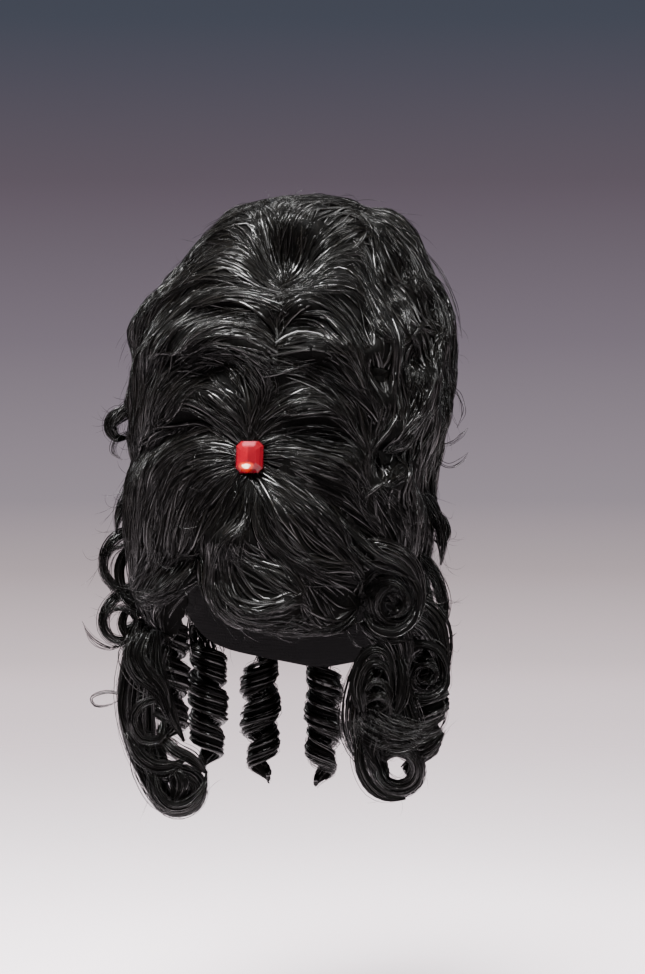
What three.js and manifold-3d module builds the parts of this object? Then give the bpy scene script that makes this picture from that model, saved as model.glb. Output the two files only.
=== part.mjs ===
// Beehive wig: a tall hive of backcombed hair on a stretch cap, with a swept fringe,
// coiled side curls, nape ringlets and one octagonal stone pinned at the front.
// Millimetres, +Z up, -Y to the front, +X to the wearer's left.
// The origin is the inside of the cap at the crown of the head.
// An angle runs round the head: 0 at the front, 90 at the wearer's left, 180 at the back.
import * as THREE from "three";
import Module from "manifold-3d";

const wasm = await Module();
wasm.setup();

// Driving dimensions
const GAP = 0.4; // clearance that two pieces keep
const SLIVER = 0.2; // facets that a cut leaves thinner than this are closed up
const HEAD = { halfBreadth: 76, halfLength: 96, crown: 120, back: 3, neckTaper: 0.25 };
const CAP = { wall: 1.6, columns: 30, rows: 6, firstStep: 0.6 };
const HIVE = { columns: 60, rows: 25, firstStep: 0.15, lastStep: 0.45, top: 178, tuck: 16, rimWall: 4 };
const UNROLLED_RADIUS = 107; // hair waves are laid out on a cylinder of this radius
const AIM_STEPS = 4; // rounds that find the hive straight out from the axis
const STONE = { width: 17.5, height: 20, corner: 0.34, angle: 1.5, z: 6, stand: 1.9, lean: 8 };
const HEAD_DROP = 150; // how far the head reaches below the rim of the cap
const PIN = { head: 5, plate: 1.2, post: 1.5, length: 12, sides: 12 };

const FINISH = {
  hair: { color: "#0b0a0a", roughness: 0.35, metalness: 0 },
  cap: { color: "#141214", roughness: 0.85, metalness: 0 },
  stone: { color: "#c8101c", roughness: 0.08, metalness: 0 },
  pin: { color: "#8a8a8c", roughness: 0.3, metalness: 1 },
};

// Rings of the cut stone from its back to its table, as shares of the outline
const STONE_FACETS = [
  { share: 0.8, height: 0 },
  { share: 1, height: 2.2 },
  { share: 0.97, height: 3.2 },
  { share: 0.8, height: 5.4 },
  { share: 0.56, height: 6.8 },
];

// Edge of the cap round the head
const CAP_RIM = [
  { angle: 0, z: -56 },
  { angle: 38, z: -64 },
  { angle: 72, z: -98 },
  { angle: 95, z: -90 },
  { angle: 125, z: -122 },
  { angle: 180, z: -144 },
];

// Lower edge of the hive round the head
const HIVE_RIM = [
  { angle: 0, z: -50 },
  { angle: 38, z: -58 },
  { angle: 72, z: -92 },
  { angle: 95, z: -85 },
  { angle: 125, z: -117 },
  { angle: 180, z: -138 },
];

// Sections of the hive: half its width, its reach to front and back, and its centre
const HIVE_SECTIONS = [
  { z: -140, side: 78, front: 92, back: 100, x: 0, y: 4 },
  { z: -90, side: 84, front: 94, back: 108, x: -2, y: 4 },
  { z: -55, side: 88, front: 99, back: 114, x: -4, y: 4 },
  { z: -20, side: 92, front: 106, back: 117, x: -5, y: 5 },
  { z: 10, side: 95, front: 112, back: 118, x: -3, y: 6 },
  { z: 45, side: 98, front: 113, back: 117, x: 0, y: 8 },
  { z: 75, side: 99, front: 113, back: 114, x: 2, y: 11 },
  { z: 100, side: 94, front: 108, back: 108, x: 3, y: 15 },
  { z: 125, side: 83, front: 96, back: 96, x: 4, y: 20 },
  { z: 145, side: 74, front: 81, back: 82, x: 7, y: 25 },
  { z: 160, side: 65, front: 68, back: 68, x: 9, y: 28 },
  { z: 171, side: 51, front: 52, back: 51, x: 10, y: 30 },
  { z: 178, side: 18, front: 18, back: 18, x: 10, y: 31 },
];

// Waves combed over the front: from the parting, over a crest, to the side
const WAVES = [
  { from: [8, 104], over: [-24, 140], to: [-64, 84], width: 22, rise: 15 },
  { from: [12, 104], over: [34, 138], to: [46, 72], width: 19, rise: 14 },
  { from: [6, 70], over: [-22, 102], to: [-72, 40], width: 20, rise: 16 },
  { from: [14, 70], over: [36, 94], to: [52, 26], width: 18, rise: 14 },
  { from: [-4, 38], over: [-30, 62], to: [-70, 6], width: 17, rise: 10 },
  { from: [16, 40], over: [34, 52], to: [44, 6], width: 16, rise: 9 },
  { from: [-62, 130], over: [0, 204], to: [70, 138], width: 22, rise: 9 },
];

const WAVE_POINTS = 32; // places along a wave that the relief is measured from

// Hollows between the waves
const DENTS = [
  { angle: 8, z: 128, radius: 26, depth: 14 },
  { angle: 49, z: 24, radius: 16, depth: 8 },
  { angle: 56, z: 108, radius: 18, depth: 10 },
];

// Wavy locks that fall down the sides and the back of the hive
const CASCADE = { first: 78, step: 30, count: 7, width: 25, rise: 11, fadeFrom: 140, fadeTo: 172 };
const SWAY = { angle: 7, pitch: 74, stagger: 2.1 }; // how each of these locks winds from side to side
const COMBED_FLAT = { angle: 96, from: -8, to: 22 }; // the front and sides lie flat below the waves

// Hair combed over the hive from the stone. Each row is one section across the lock.
const FRINGE = [
  { nearAngle: -4, nearZ: -8, farAngle: 9, farZ: -7, sag: 0, thick: 4 },
  { nearAngle: -10, nearZ: -28, farAngle: 25, farZ: -17, sag: 3, thick: 10 },
  { nearAngle: -16, nearZ: -52, farAngle: 37, farZ: -36, sag: 6, thick: 13 },
  { nearAngle: -21, nearZ: -73, farAngle: 45, farZ: -60, sag: 9, thick: 14 },
  { nearAngle: -19, nearZ: -88, farAngle: 47, farZ: -86, sag: 12, thick: 11 },
  { nearAngle: -13, nearZ: -98, farAngle: 42, farZ: -104, sag: 4, thick: 4 },
];
const SWEEP_RIGHT = [
  { nearAngle: -12, nearZ: 12, farAngle: -6, farZ: -8, sag: 0, thick: 4 },
  { nearAngle: -38, nearZ: 12, farAngle: -12, farZ: -29, sag: 2, thick: 9 },
  { nearAngle: -62, nearZ: 2, farAngle: -18, farZ: -53, sag: 3, thick: 11 },
  { nearAngle: -80, nearZ: -20, farAngle: -23, farZ: -75, sag: 4, thick: 12 },
  { nearAngle: -92, nearZ: -48, farAngle: -31, farZ: -96, sag: 6, thick: 12 },
  { nearAngle: -97, nearZ: -78, farAngle: -40, farZ: -114, sag: 4, thick: 5 },
];
const SWEEP_LEFT = [
  { nearAngle: 10.5, nearZ: -6, farAngle: 14, farZ: 12, sag: 0, thick: 4 },
  { nearAngle: 27, nearZ: -15, farAngle: 44, farZ: 12, sag: -1, thick: 9 },
  { nearAngle: 39, nearZ: -33, farAngle: 66, farZ: 2, sag: -2, thick: 11 },
  { nearAngle: 48, nearZ: -56, farAngle: 86, farZ: -20, sag: -2, thick: 11 },
  { nearAngle: 54, nearZ: -76, farAngle: 98, farZ: -48, sag: 0, thick: 5 },
];
const LOCK = { across: 8, edge: 1.6, ribs: 3, ribDepth: 0.16, offHead: 4, offHive: 3, fall: 60 };

// Coiled curls: a lock drops from its root and closes into a ring that faces one way.
// Widths are along the ring's axis. Lead is the lock's thickness at its root, thick that in the ring.
const COILS = [
  {
    name: "coil_left_temple", root: [42, 104, -54], over: [63, 106, -54], ring: [58, 96, -86],
    faces: 26, tilt: 0, radius: 17, turns: 1.3, inward: 0.25,
    width: 19, lead: 22, thick: 11.5, hand: 1,
  },
  {
    name: "loop_left_back", root: [94, 86, -60], over: [98, 99, -62], ring: [92, 90, -95],
    faces: 15, tilt: 0, radius: 15.5, turns: 0.95, inward: 0.9,
    width: 12, lead: 10, thick: 7, hand: 1,
  },
  {
    name: "coil_left_outer", root: [84, 84, -94], over: [90, 104, -98], ring: [84, 96, -134],
    faces: 14, tilt: 8, radius: 11.5, turns: 1.3, inward: 0.26,
    width: 22, lead: 28, thick: 7.8, hand: 1,
  },
  {
    name: "coil_left_cheek", root: [57, 88, -100], over: [66, 94, -112], ring: [61, 80, -147],
    faces: 16, tilt: 26, radius: 10.2, turns: 1.25, inward: 0.28,
    width: 30, lead: 30, thick: 6.9, hand: 1,
  },
  {
    name: "ring_left_low", root: [66, 80, -124], over: [50, 62, -168], ring: [69, 87, -195],
    faces: 15, tilt: 0, radius: 12.8, turns: 0.92, inward: 0.95,
    width: 19, lead: 36, thick: 11.5, hand: -1,
  },
  {
    name: "loop_right_upper", root: [-84, 95, -42], over: [-75, 121, -42], ring: [-75, 106, -66],
    faces: 12, tilt: 0, radius: 16, turns: 0.95, inward: 0.85,
    width: 11, lead: 9, thick: 6, hand: -1,
  },
  {
    name: "loop_right_lower", root: [-88, 93, -78], over: [-77, 122, -84], ring: [-75, 110, -104],
    faces: 12, tilt: 0, radius: 12.5, turns: 0.95, inward: 0.8,
    width: 11, lead: 9, thick: 6, hand: -1,
  },
  {
    name: "ring_right_low", root: [-57, 91, -108], over: [-74, 112, -160], ring: [-59, 74.5, -210],
    faces: 18, tilt: 0, radius: 13.5, turns: 0.92, inward: 0.8,
    width: 27, lead: 33, thick: 15, hand: -1,
  },
];
const COIL = { perTurn: 11, leadSteps: 4, sides: 7, middle: 0.35, advance: 0.9, taper: 0.55 };

// Flicks: a lock that runs from its root to a turned-up tip
const FLICKS = [
  {
    name: "flick_left", root: [66, 79, -124], bend: [71, 93, -206], tip: [73, 117, -168],
    width: 17, thick: 33,
  },
  {
    name: "tuft_left", root: [104, 87, -16], bend: [105, 107, -40], tip: [105, 102, -66],
    width: 22, thick: 12,
  },
  {
    name: "tuft_right", root: [-78, 91, -4], bend: [-76, 113, -22], tip: [-76, 113, -44],
    width: 22, thick: 12,
  },
  {
    name: "tuft_right_upper", root: [-76, 91, 44], bend: [-75, 110, 38], tip: [-75, 116, 24],
    width: 24, thick: 13,
  },
];
const FLICK = { steps: 7, sides: 7, taper: 0.86 };

// Hanging ringlets: a flat lock wound down a helix
const RINGLETS = [
  { name: "ringlet_right_side", angle: -82, radius: 96, top: -92, drop: 80, lean: 2, hand: -1 },
  { name: "ringlet_right_back", angle: -108, radius: 95, top: -104, drop: 92, lean: -2, hand: 1 },
  { name: "ringlet_left_back", angle: 108, radius: 95, top: -104, drop: 92, lean: -2, hand: -1 },
  { name: "ringlet_nape_1", angle: 132, radius: 99, top: -124, drop: 86, lean: -4, hand: 1 },
  { name: "ringlet_nape_2", angle: 156, radius: 107, top: -134, drop: 86, lean: -4, hand: -1 },
  { name: "ringlet_nape_3", angle: 180, radius: 110, top: -138, drop: 86, lean: -4, hand: 1 },
  { name: "ringlet_nape_4", angle: 204, radius: 107, top: -134, drop: 86, lean: -4, hand: -1 },
  { name: "ringlet_nape_5", angle: 228, radius: 99, top: -124, drop: 86, lean: -4, hand: 1 },
];
const HELIX = { coil: 9.5, pitch: 26, width: 20, thick: 9, perTurn: 6, sides: 6 };
const HELIX_ENDS = { ramp: 0.16, closeFrom: 0.6, tip: 0.55 };

const { degToRad: toRadians, radToDeg: toDegrees, lerp, clamp, smoothstep } = THREE.MathUtils;
const wrapAngle = (angle) => THREE.MathUtils.euclideanModulo(angle + 180, 360) - 180;

function around(angle, radius, z) {
  const a = toRadians(angle);
  return new THREE.Vector3(radius * Math.sin(a), -radius * Math.cos(a), z);
}

function ellipseRadius(angle, halfX, halfY) {
  const a = toRadians(angle);
  return 1 / Math.hypot(Math.sin(a) / halfX, Math.cos(a) / halfY);
}

// Smooth value of one column of a table at a place on its key column.
function columnAt(rows, key, column, place) {
  const last = rows.length - 1;
  const after = Math.min(last, Math.max(1, rows.findIndex((row) => row[key] > place)));
  const i = place >= rows[last][key] ? last : after;
  const [a, b] = [rows[i - 1], rows[i]];
  const slope = (j) => {
    const [p, q] = [rows[Math.max(0, j - 1)], rows[Math.min(last, j + 1)]];
    return (q[column] - p[column]) / (q[key] - p[key]);
  };
  const span = b[key] - a[key];
  const t = clamp((place - a[key]) / span, 0, 1);
  const [t2, t3] = [t * t, t * t * t];
  const start = (2 * t3 - 3 * t2 + 1) * a[column] + (t3 - 2 * t2 + t) * span * slope(i - 1);
  return start + (3 * t2 - 2 * t3) * b[column] + (t3 - t2) * span * slope(i);
}

const rimHeight = (rim, angle) => columnAt(rim, "angle", "z", Math.abs(wrapAngle(angle)));

// Radius of the head at a height, straight and tapering below its widest level.
function headRadius(angle, z, grow = 0) {
  const { halfBreadth, halfLength, crown, back, neckTaper } = HEAD;
  const depth = Math.min(crown, crown + z);
  const level = Math.sqrt(Math.max(0, 1 - (Math.max(0, depth) / crown) ** 2));
  const below = Math.max(0, -crown - z) * neckTaper;
  const setBack = -back * Math.cos(toRadians(angle)) * level;
  return ellipseRadius(angle, halfBreadth * level, halfLength * level) + setBack + grow - below;
}

// A closed solid skinned over rings of points, each ring going the same way round
function skin(rings) {
  const sides = rings[0].length;
  const points = rings.flat();
  const faces = [];
  for (let r = 0; r + 1 < rings.length; r++) {
    for (let s = 0; s < sides; s++) {
      const [a, b] = [r * sides + s, r * sides + ((s + 1) % sides)];
      faces.push(a, b, b + sides, a, b + sides, a + sides);
    }
  }
  const middle = (ring) => ring.reduce((sum, p) => sum.add(p), new THREE.Vector3()).divideScalar(sides);
  const top = (rings.length - 1) * sides;
  const [startPole, endPole] = [points.length, points.length + 1];
  points.push(middle(rings[0]), middle(rings.at(-1)));
  for (let s = 0; s < sides; s++) {
    const next = (s + 1) % sides;
    faces.push(startPole, next, s, endPole, top + s, top + next);
  }
  const volume = (i) => points[faces[i]].dot(points[faces[i + 1]].clone().cross(points[faces[i + 2]]));
  let sixTimesVolume = 0;
  for (let i = 0; i < faces.length; i += 3) sixTimesVolume += volume(i);
  if (sixTimesVolume < 0) faces.reverse();
  return new wasm.Manifold(
    new wasm.Mesh({
      numProp: 3,
      vertProperties: new Float32Array(points.flatMap((p) => [p.x, p.y, p.z])),
      triVerts: new Uint32Array(faces),
    }),
  );
}

function columnAngles(columns) {
  return Array.from({ length: columns }, (_, i) => (i * 360) / columns);
}

// One ring of the cap at a share of the way from its crown to its rim
function capRing(share, grow) {
  const bend = (share * Math.PI) / 2;
  return columnAngles(CAP.columns).map((angle) => {
    const z = rimHeight(CAP_RIM, angle) * (1 - Math.cos(bend));
    return around(angle, headRadius(angle, z) + grow * Math.sin(bend), z + grow * Math.cos(bend));
  });
}
const CAP_SHARES = Array.from(
  { length: CAP.rows },
  (_, i) => (i + CAP.firstStep) / (CAP.rows - 1 + CAP.firstStep),
);

// The stretch cap, from its crown inside, down to its rim and up again outside
function makeCap() {
  const inside = CAP_SHARES.map((share) => capRing(share, 0));
  const outside = CAP_SHARES.map((share) => capRing(share, CAP.wall)).reverse();
  return skin([...inside, ...outside]);
}

// The room that the cap and the head take up, ending some way below the rim
function makeHeadRoom(drop) {
  const rings = CAP_SHARES.map((share) => capRing(share, CAP.wall + GAP)).reverse();
  rings.unshift(rings[0].map((p) => new THREE.Vector3(p.x, p.y, p.z - drop)));
  return skin(rings);
}

// Points along a curve from a parting, over a crest, to the side, unrolled to millimetres
function wavePath({ from, over, to }) {
  const flat = ([angle, z]) => new THREE.Vector2(toRadians(angle) * UNROLLED_RADIUS, z);
  return new THREE.QuadraticBezierCurve(flat(from), flat(over), flat(to)).getPoints(WAVE_POINTS);
}
const WAVE_PATHS = WAVES.map((wave) => ({ ...wave, path: wavePath(wave) }));

function distanceToPath(x, z, path) {
  const across = toRadians(360) * UNROLLED_RADIUS;
  return Math.min(
    ...path.map((p) => {
      const dx = Math.abs(x - p.x) % across;
      return Math.hypot(Math.min(dx, across - dx), z - p.y);
    }),
  );
}

const bump = (distance, width) => (distance < width ? (1 - (distance / width) ** 2) ** 2 : 0);

// How far the hair stands out from the plain hive
function relief(angle, z) {
  const x = toRadians(angle) * UNROLLED_RADIUS;
  const fade = 1 - smoothstep(z, CASCADE.fadeFrom, CASCADE.fadeTo);
  let raised = 0;
  for (const { path, width, rise } of WAVE_PATHS) {
    raised = Math.max(raised, rise * bump(distanceToPath(x, z, path), width));
  }
  for (let i = 0; i < CASCADE.count; i++) {
    const sway = SWAY.angle * Math.sin((2 * Math.PI * z) / SWAY.pitch + SWAY.stagger * i);
    const off = wrapAngle(angle - CASCADE.first - i * CASCADE.step - sway);
    const away = Math.abs(toRadians(off)) * UNROLLED_RADIUS;
    raised = Math.max(raised, fade * CASCADE.rise * bump(away, CASCADE.width));
  }
  for (const { angle: at, z: level, radius, depth } of DENTS) {
    const away = Math.hypot(toRadians(wrapAngle(angle - at)) * UNROLLED_RADIUS, z - level);
    raised -= depth * bump(away, radius);
  }
  const combed = Math.abs(wrapAngle(angle)) < COMBED_FLAT.angle;
  return combed ? raised * smoothstep(z, COMBED_FLAT.from, COMBED_FLAT.to) : raised;
}

// A point of the hive's outer face, tucked in towards the cap at its lower edge
function hivePoint(angle, z) {
  const at = (column) => columnAt(HIVE_SECTIONS, "z", column, z);
  const a = wrapAngle(angle);
  const reach = Math.abs(a) < 90 ? at("front") : at("back");
  const section = ellipseRadius(a, at("side"), reach);
  const lift = (z - rimHeight(HIVE_RIM, a)) / HIVE.tuck;
  const full = Math.sqrt(clamp(1 - (1 - lift) ** 2 * (lift < 1), 0, 1));
  const shifted = around(a, section + relief(a, z), z).add(new THREE.Vector3(at("x"), at("y"), 0));
  const outer = Math.hypot(shifted.x, shifted.y);
  const outerAngle = toDegrees(Math.atan2(shifted.x, -shifted.y));
  const tucked = headRadius(outerAngle, z, CAP.wall + GAP + HIVE.rimWall);
  return around(outerAngle, lerp(tucked, outer, full), z);
}

// The hive before the cap's room is taken out of it
function makeHive() {
  const ring = (share) =>
    columnAngles(HIVE.columns).map((angle) => {
      const low = rimHeight(HIVE_RIM, angle);
      return hivePoint(angle, low + (HIVE.top - low) * Math.sin((share * Math.PI) / 2));
    });
  const whole = HIVE.rows - 1 + HIVE.firstStep + HIVE.lastStep;
  const shares = Array.from({ length: HIVE.rows }, (_, i) => (i + HIVE.firstStep) / whole);
  return skin(shares.map(ring));
}

// Radius that a combed lock lies on: the hive, or clear of the forehead below it.
function underLock(angle, z) {
  const fullLevel = rimHeight(HIVE_RIM, angle) + HIVE.tuck;
  const hive = hiveRadius(angle, Math.max(z, fullLevel)) + LOCK.offHive;
  const forehead = headRadius(angle, z, LOCK.offHead);
  const below = clamp((fullLevel - z) / LOCK.fall, 0, 1);
  return Math.max(forehead, lerp(hive, forehead, below * below));
}

// Radius of the hive straight out from the axis
function hiveRadius(angle, z) {
  let best = angle;
  for (let i = 0; i < AIM_STEPS; i++) {
    const p = hivePoint(best, z);
    best += wrapAngle(angle - toDegrees(Math.atan2(p.x, -p.y)));
  }
  const p = hivePoint(best, z);
  return Math.hypot(p.x, p.y);
}

// A combed lock: each row of its table is a closed section, flat below and ribbed above.
function makeCombed(rows) {
  const across = Array.from({ length: LOCK.across + 1 }, (_, i) => i / LOCK.across);
  const section = (row) => {
    const at = (share, lift) => {
      const angle = lerp(row.nearAngle, row.farAngle, share);
      const droop = row.sag * Math.sin(Math.PI * share);
      const z = lerp(row.nearZ, row.farZ, share) - droop;
      return around(angle, underLock(angle, z) + lift, z);
    };
    const crown = (share) => {
      const ribs = 1 + LOCK.ribDepth * Math.cos(2 * Math.PI * LOCK.ribs * (share - 0.5));
      return LOCK.edge + (row.thick - LOCK.edge) * Math.sqrt(Math.sin(Math.PI * share)) * ribs;
    };
    const over = across.map((share) => at(share, crown(share)));
    const under = across.map((share) => at(share, 0)).reverse();
    return [...over, ...under];
  };
  return skin(rows.map(section));
}

// A lock swept along a path, its section an ellipse turned so that its width runs along wideWay.
function sweepLock(path, sides) {
  const rings = path.map(({ at, ahead, wideWay, width, thick }) => {
    const tangent = ahead.clone().normalize();
    const wide = wideWay.clone().addScaledVector(tangent, -wideWay.dot(tangent)).normalize();
    const deep = new THREE.Vector3().crossVectors(tangent, wide);
    return Array.from({ length: sides }, (_, s) => {
      const turn = (2 * Math.PI * s) / sides;
      return at
        .clone()
        .addScaledVector(wide, (width / 2) * Math.cos(turn))
        .addScaledVector(deep, (thick / 2) * Math.sin(turn));
    });
  });
  return skin(rings);
}

// Gives each point of a path the direction that it runs in.
function withDirections(path) {
  return path.map((step, i) => {
    const [before, after] = [path[Math.max(0, i - 1)], path[Math.min(path.length - 1, i + 1)]];
    return { ...step, ahead: after.at.clone().sub(before.at) };
  });
}

// A lock that drops from its root and winds into a ring
function makeCoil(row) {
  const root = around(...row.root);
  const centre = around(...row.ring);
  const tilt = toRadians(row.tilt);
  const axis = around(row.faces, Math.cos(tilt), -Math.sin(tilt));
  const across = around(row.faces + 90, 1, 0);
  const up = new THREE.Vector3().crossVectors(axis, across);
  const side = across.clone().multiplyScalar(row.hand);
  const steps = Math.round(row.turns * COIL.perTurn);
  const ringPoint = (share) => {
    const turn = share * row.turns * 2 * Math.PI;
    const radius = row.radius * lerp(1, row.inward, share);
    const shift = (share - COIL.middle) * row.width * COIL.advance;
    return centre
      .clone()
      .addScaledVector(side, radius * Math.cos(turn))
      .addScaledVector(up, -radius * Math.sin(turn))
      .addScaledVector(axis, shift);
  };
  const entry = ringPoint(0);
  const lead = new THREE.QuadraticBezierCurve3(root, around(...row.over), entry);
  const path = [];
  for (let i = 0; i < COIL.leadSteps; i++) {
    const share = i / COIL.leadSteps;
    const thick = lerp(row.lead, row.thick, share ** 2);
    path.push({ at: lead.getPoint(share), width: row.width, thick });
  }
  for (let i = 0; i <= steps; i++) {
    const share = i / steps;
    const taper = 1 - COIL.taper * share ** 3;
    path.push({ at: ringPoint(share), width: row.width * taper, thick: row.thick * taper });
  }
  const turned = withDirections(path).map((step) => ({ ...step, wideWay: axis }));
  return sweepLock(turned, COIL.sides);
}

function makeFlick(row) {
  const [root, bend, tip] = [row.root, row.bend, row.tip].map((place) => around(...place));
  const curve = new THREE.QuadraticBezierCurve3(root, bend, tip);
  const outward = around(row.bend[0] + 90, 1, 0);
  const path = Array.from({ length: FLICK.steps + 1 }, (_, i) => {
    const share = i / FLICK.steps;
    const taper = 1 - FLICK.taper * share ** 2;
    const [width, thick] = [row.width * taper, row.thick * taper];
    return { at: curve.getPoint(share), width, thick, wideWay: outward };
  });
  return sweepLock(withDirections(path), FLICK.sides);
}

function makeRinglet(row) {
  const turns = row.drop / HELIX.pitch;
  const steps = Math.round(turns * HELIX.perTurn);
  const down = new THREE.Vector3(0, 0, -1);
  const path = Array.from({ length: steps + 1 }, (_, i) => {
    const share = i / steps;
    const turn = row.hand * share * turns * 2 * Math.PI + toRadians(row.angle);
    const opening = smoothstep(share, 0, HELIX_ENDS.ramp);
    const closing = lerp(1, HELIX_ENDS.tip, smoothstep(share, HELIX_ENDS.closeFrom, 1));
    const axisPoint = around(row.angle, row.radius + row.lean * share, row.top - row.drop * share);
    const spoke = new THREE.Vector3(Math.sin(turn), -Math.cos(turn), 0);
    const taper = lerp(HELIX_ENDS.tip, 1, opening) * closing;
    return {
      at: axisPoint.addScaledVector(spoke, HELIX.coil * closing),
      width: HELIX.width * taper,
      thick: HELIX.thick * taper,
      wideWay: down,
    };
  });
  return sweepLock(withDirections(path), HELIX.sides);
}

// Where the stone is pinned, with its Z axis straight out of the hair
function stoneFrame() {
  const seat = around(STONE.angle, hiveRadius(STONE.angle, STONE.z), STONE.z);
  const group = new THREE.Group();
  group.position.copy(seat);
  group.rotation.set(toRadians(90 - STONE.lean), 0, toRadians(STONE.angle), "ZXY");
  group.updateMatrixWorld(true);
  return group;
}

// An octagon of the stone's outline at a share of its full size
function octagon(share, height) {
  const [w, h] = [(STONE.width / 2) * share, (STONE.height / 2) * share];
  const cut = STONE.corner * w;
  const corners = [
    [w, h - cut],
    [w - cut, h],
    [cut - w, h],
    [-w, h - cut],
    [-w, cut - h],
    [cut - w, -h],
    [w - cut, -h],
    [w, cut - h],
  ];
  return corners.map(([x, y]) => new THREE.Vector3(x, y, height));
}

function makeStone(frame) {
  const rings = STONE_FACETS.map(({ share, height }) => octagon(share, height + STONE.stand));
  return skin(rings.map((ring) => ring.map((p) => p.applyMatrix4(frame.matrixWorld))));
}

function makePin(frame) {
  const top = STONE.stand - GAP;
  const profile = [
    { radius: PIN.post, height: -PIN.length },
    { radius: PIN.post, height: top - PIN.plate },
    { radius: PIN.head, height: top - PIN.plate },
    { radius: PIN.head, height: top },
  ];
  const ring = ({ radius, height }) =>
    Array.from({ length: PIN.sides }, (_, i) => {
      const turn = (2 * Math.PI * i) / PIN.sides;
      const place = new THREE.Vector3(radius * Math.cos(turn), radius * Math.sin(turn), height);
      return place.applyMatrix4(frame.matrixWorld);
    });
  return skin(profile.map(ring));
}

// A solid with room round it, for cutting a clearance
function roomFor(solid) {
  const shifts = [-GAP, GAP].flatMap((d) => [[d, 0, 0], [0, d, 0], [0, 0, d]]);
  return shifts.reduce((room, shift) => room.add(solid.translate(shift)), solid);
}

const largest = (solid) => solid.decompose().reduce((a, b) => (a.volume() > b.volume() ? a : b));

function toMesh(name, solid, finish) {
  const { numProp, vertProperties, triVerts } = solid.getMesh();
  const positions = new THREE.BufferAttribute(Float32Array.from(vertProperties), numProp);
  const geometry = new THREE.BufferGeometry();
  geometry.setAttribute("position", positions);
  geometry.setIndex(new THREE.BufferAttribute(Uint32Array.from(triVerts), 1));
  geometry.computeVertexNormals();
  const mesh = new THREE.Mesh(geometry, new THREE.MeshStandardMaterial(finish));
  mesh.name = name;
  return mesh;
}

// Every lock, in the order that they are laid: each makes way for those before it.
const LOCKS = [
  { name: "fringe", solid: makeCombed(FRINGE) },
  { name: "sweep_right", solid: makeCombed(SWEEP_RIGHT) },
  { name: "sweep_left", solid: makeCombed(SWEEP_LEFT) },
  ...COILS.map((row) => ({ name: row.name, solid: makeCoil(row) })),
  ...FLICKS.map((row) => ({ name: row.name, solid: makeFlick(row) })),
  ...RINGLETS.map((row) => ({ name: row.name, solid: makeRinglet(row) })),
];

const wig = new THREE.Group();
const frame = stoneFrame();
const pocket = roomFor(makePin(frame).add(makeStone(frame)));
const hive = makeHive().subtract(makeHeadRoom(HEAD_DROP)).subtract(pocket).simplify(SLIVER);
wig.add(toMesh("cap", makeCap(), FINISH.cap));
wig.add(toMesh("beehive", hive, FINISH.hair));
wig.add(toMesh("stone", makeStone(frame), FINISH.stone));
wig.add(toMesh("stone_pin", makePin(frame), FINISH.pin));

let taken = roomFor(makeHive()).add(makeHeadRoom(GAP));
for (const { name, solid } of LOCKS) {
  wig.add(toMesh(name, largest(solid.subtract(taken).simplify(SLIVER)), FINISH.hair));
  taken = taken.add(roomFor(solid));
}

export default wig;
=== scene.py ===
import math

import bpy
import numpy as np
from mathutils import Matrix, Vector
from mathutils.bvhtree import BVHTree


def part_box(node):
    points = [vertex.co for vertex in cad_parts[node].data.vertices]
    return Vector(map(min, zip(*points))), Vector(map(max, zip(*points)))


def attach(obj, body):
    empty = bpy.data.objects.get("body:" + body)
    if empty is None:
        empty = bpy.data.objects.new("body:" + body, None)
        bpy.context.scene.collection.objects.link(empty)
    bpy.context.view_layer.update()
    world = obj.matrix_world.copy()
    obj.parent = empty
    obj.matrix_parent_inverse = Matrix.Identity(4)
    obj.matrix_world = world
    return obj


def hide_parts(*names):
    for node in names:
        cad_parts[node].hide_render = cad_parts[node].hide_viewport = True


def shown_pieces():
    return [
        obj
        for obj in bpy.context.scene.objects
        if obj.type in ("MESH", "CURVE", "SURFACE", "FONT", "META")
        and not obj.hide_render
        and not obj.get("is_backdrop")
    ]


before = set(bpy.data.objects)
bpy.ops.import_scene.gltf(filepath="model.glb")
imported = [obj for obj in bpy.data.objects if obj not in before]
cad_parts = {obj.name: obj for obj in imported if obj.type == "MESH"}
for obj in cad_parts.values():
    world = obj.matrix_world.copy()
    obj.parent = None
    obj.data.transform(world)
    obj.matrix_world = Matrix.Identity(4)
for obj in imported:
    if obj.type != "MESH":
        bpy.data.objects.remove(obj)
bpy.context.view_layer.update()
mm = 0.001
dice = np.random.default_rng(11)
print("frame loaded,", len(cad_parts), "nodes")

# Camera: the picture is laid over the wig through one crown pixel and one scale
picture = {
    "azimuth": 13,
    "elevation": 1,
    "distance": 1.8,
    "sensor": 36,
    "width": 645,
    "height": 974,
    "mmPerPixel": 0.662,
    "crownX": 287,
    "crownY": 466,
}


def vectorAt(azimuth, elevation):
    a, e = math.radians(azimuth), math.radians(elevation)
    return np.array((math.sin(a) * math.cos(e), -math.cos(a) * math.cos(e), math.sin(e)))


pictureBack = vectorAt(picture["azimuth"], picture["elevation"])
pictureRight = vectorAt(picture["azimuth"] + 90, 0)
pictureUp = np.cross(pictureBack, pictureRight)
pixelSize = picture["mmPerPixel"] * mm
middleX = picture["width"] / 2
middleY = picture["height"] / 2
fromCrown = pictureRight * (middleX - picture["crownX"]) - pictureUp * (middleY - picture["crownY"])
cameraPlace = fromCrown * pixelSize + pictureBack * picture["distance"]


def makeCamera():
    data = bpy.data.cameras.new("studio_camera")
    data.sensor_width = picture["sensor"]
    data.lens = picture["sensor"] * picture["distance"] / (picture["height"] * pixelSize)
    camera = bpy.data.objects.new("studio_camera", data)
    turned = Matrix((pictureRight, pictureUp, pictureBack)).transposed().to_4x4()
    camera.matrix_world = Matrix.Translation(cameraPlace) @ turned
    bpy.context.scene.collection.objects.link(camera)
    bpy.context.scene.camera = camera


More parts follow.
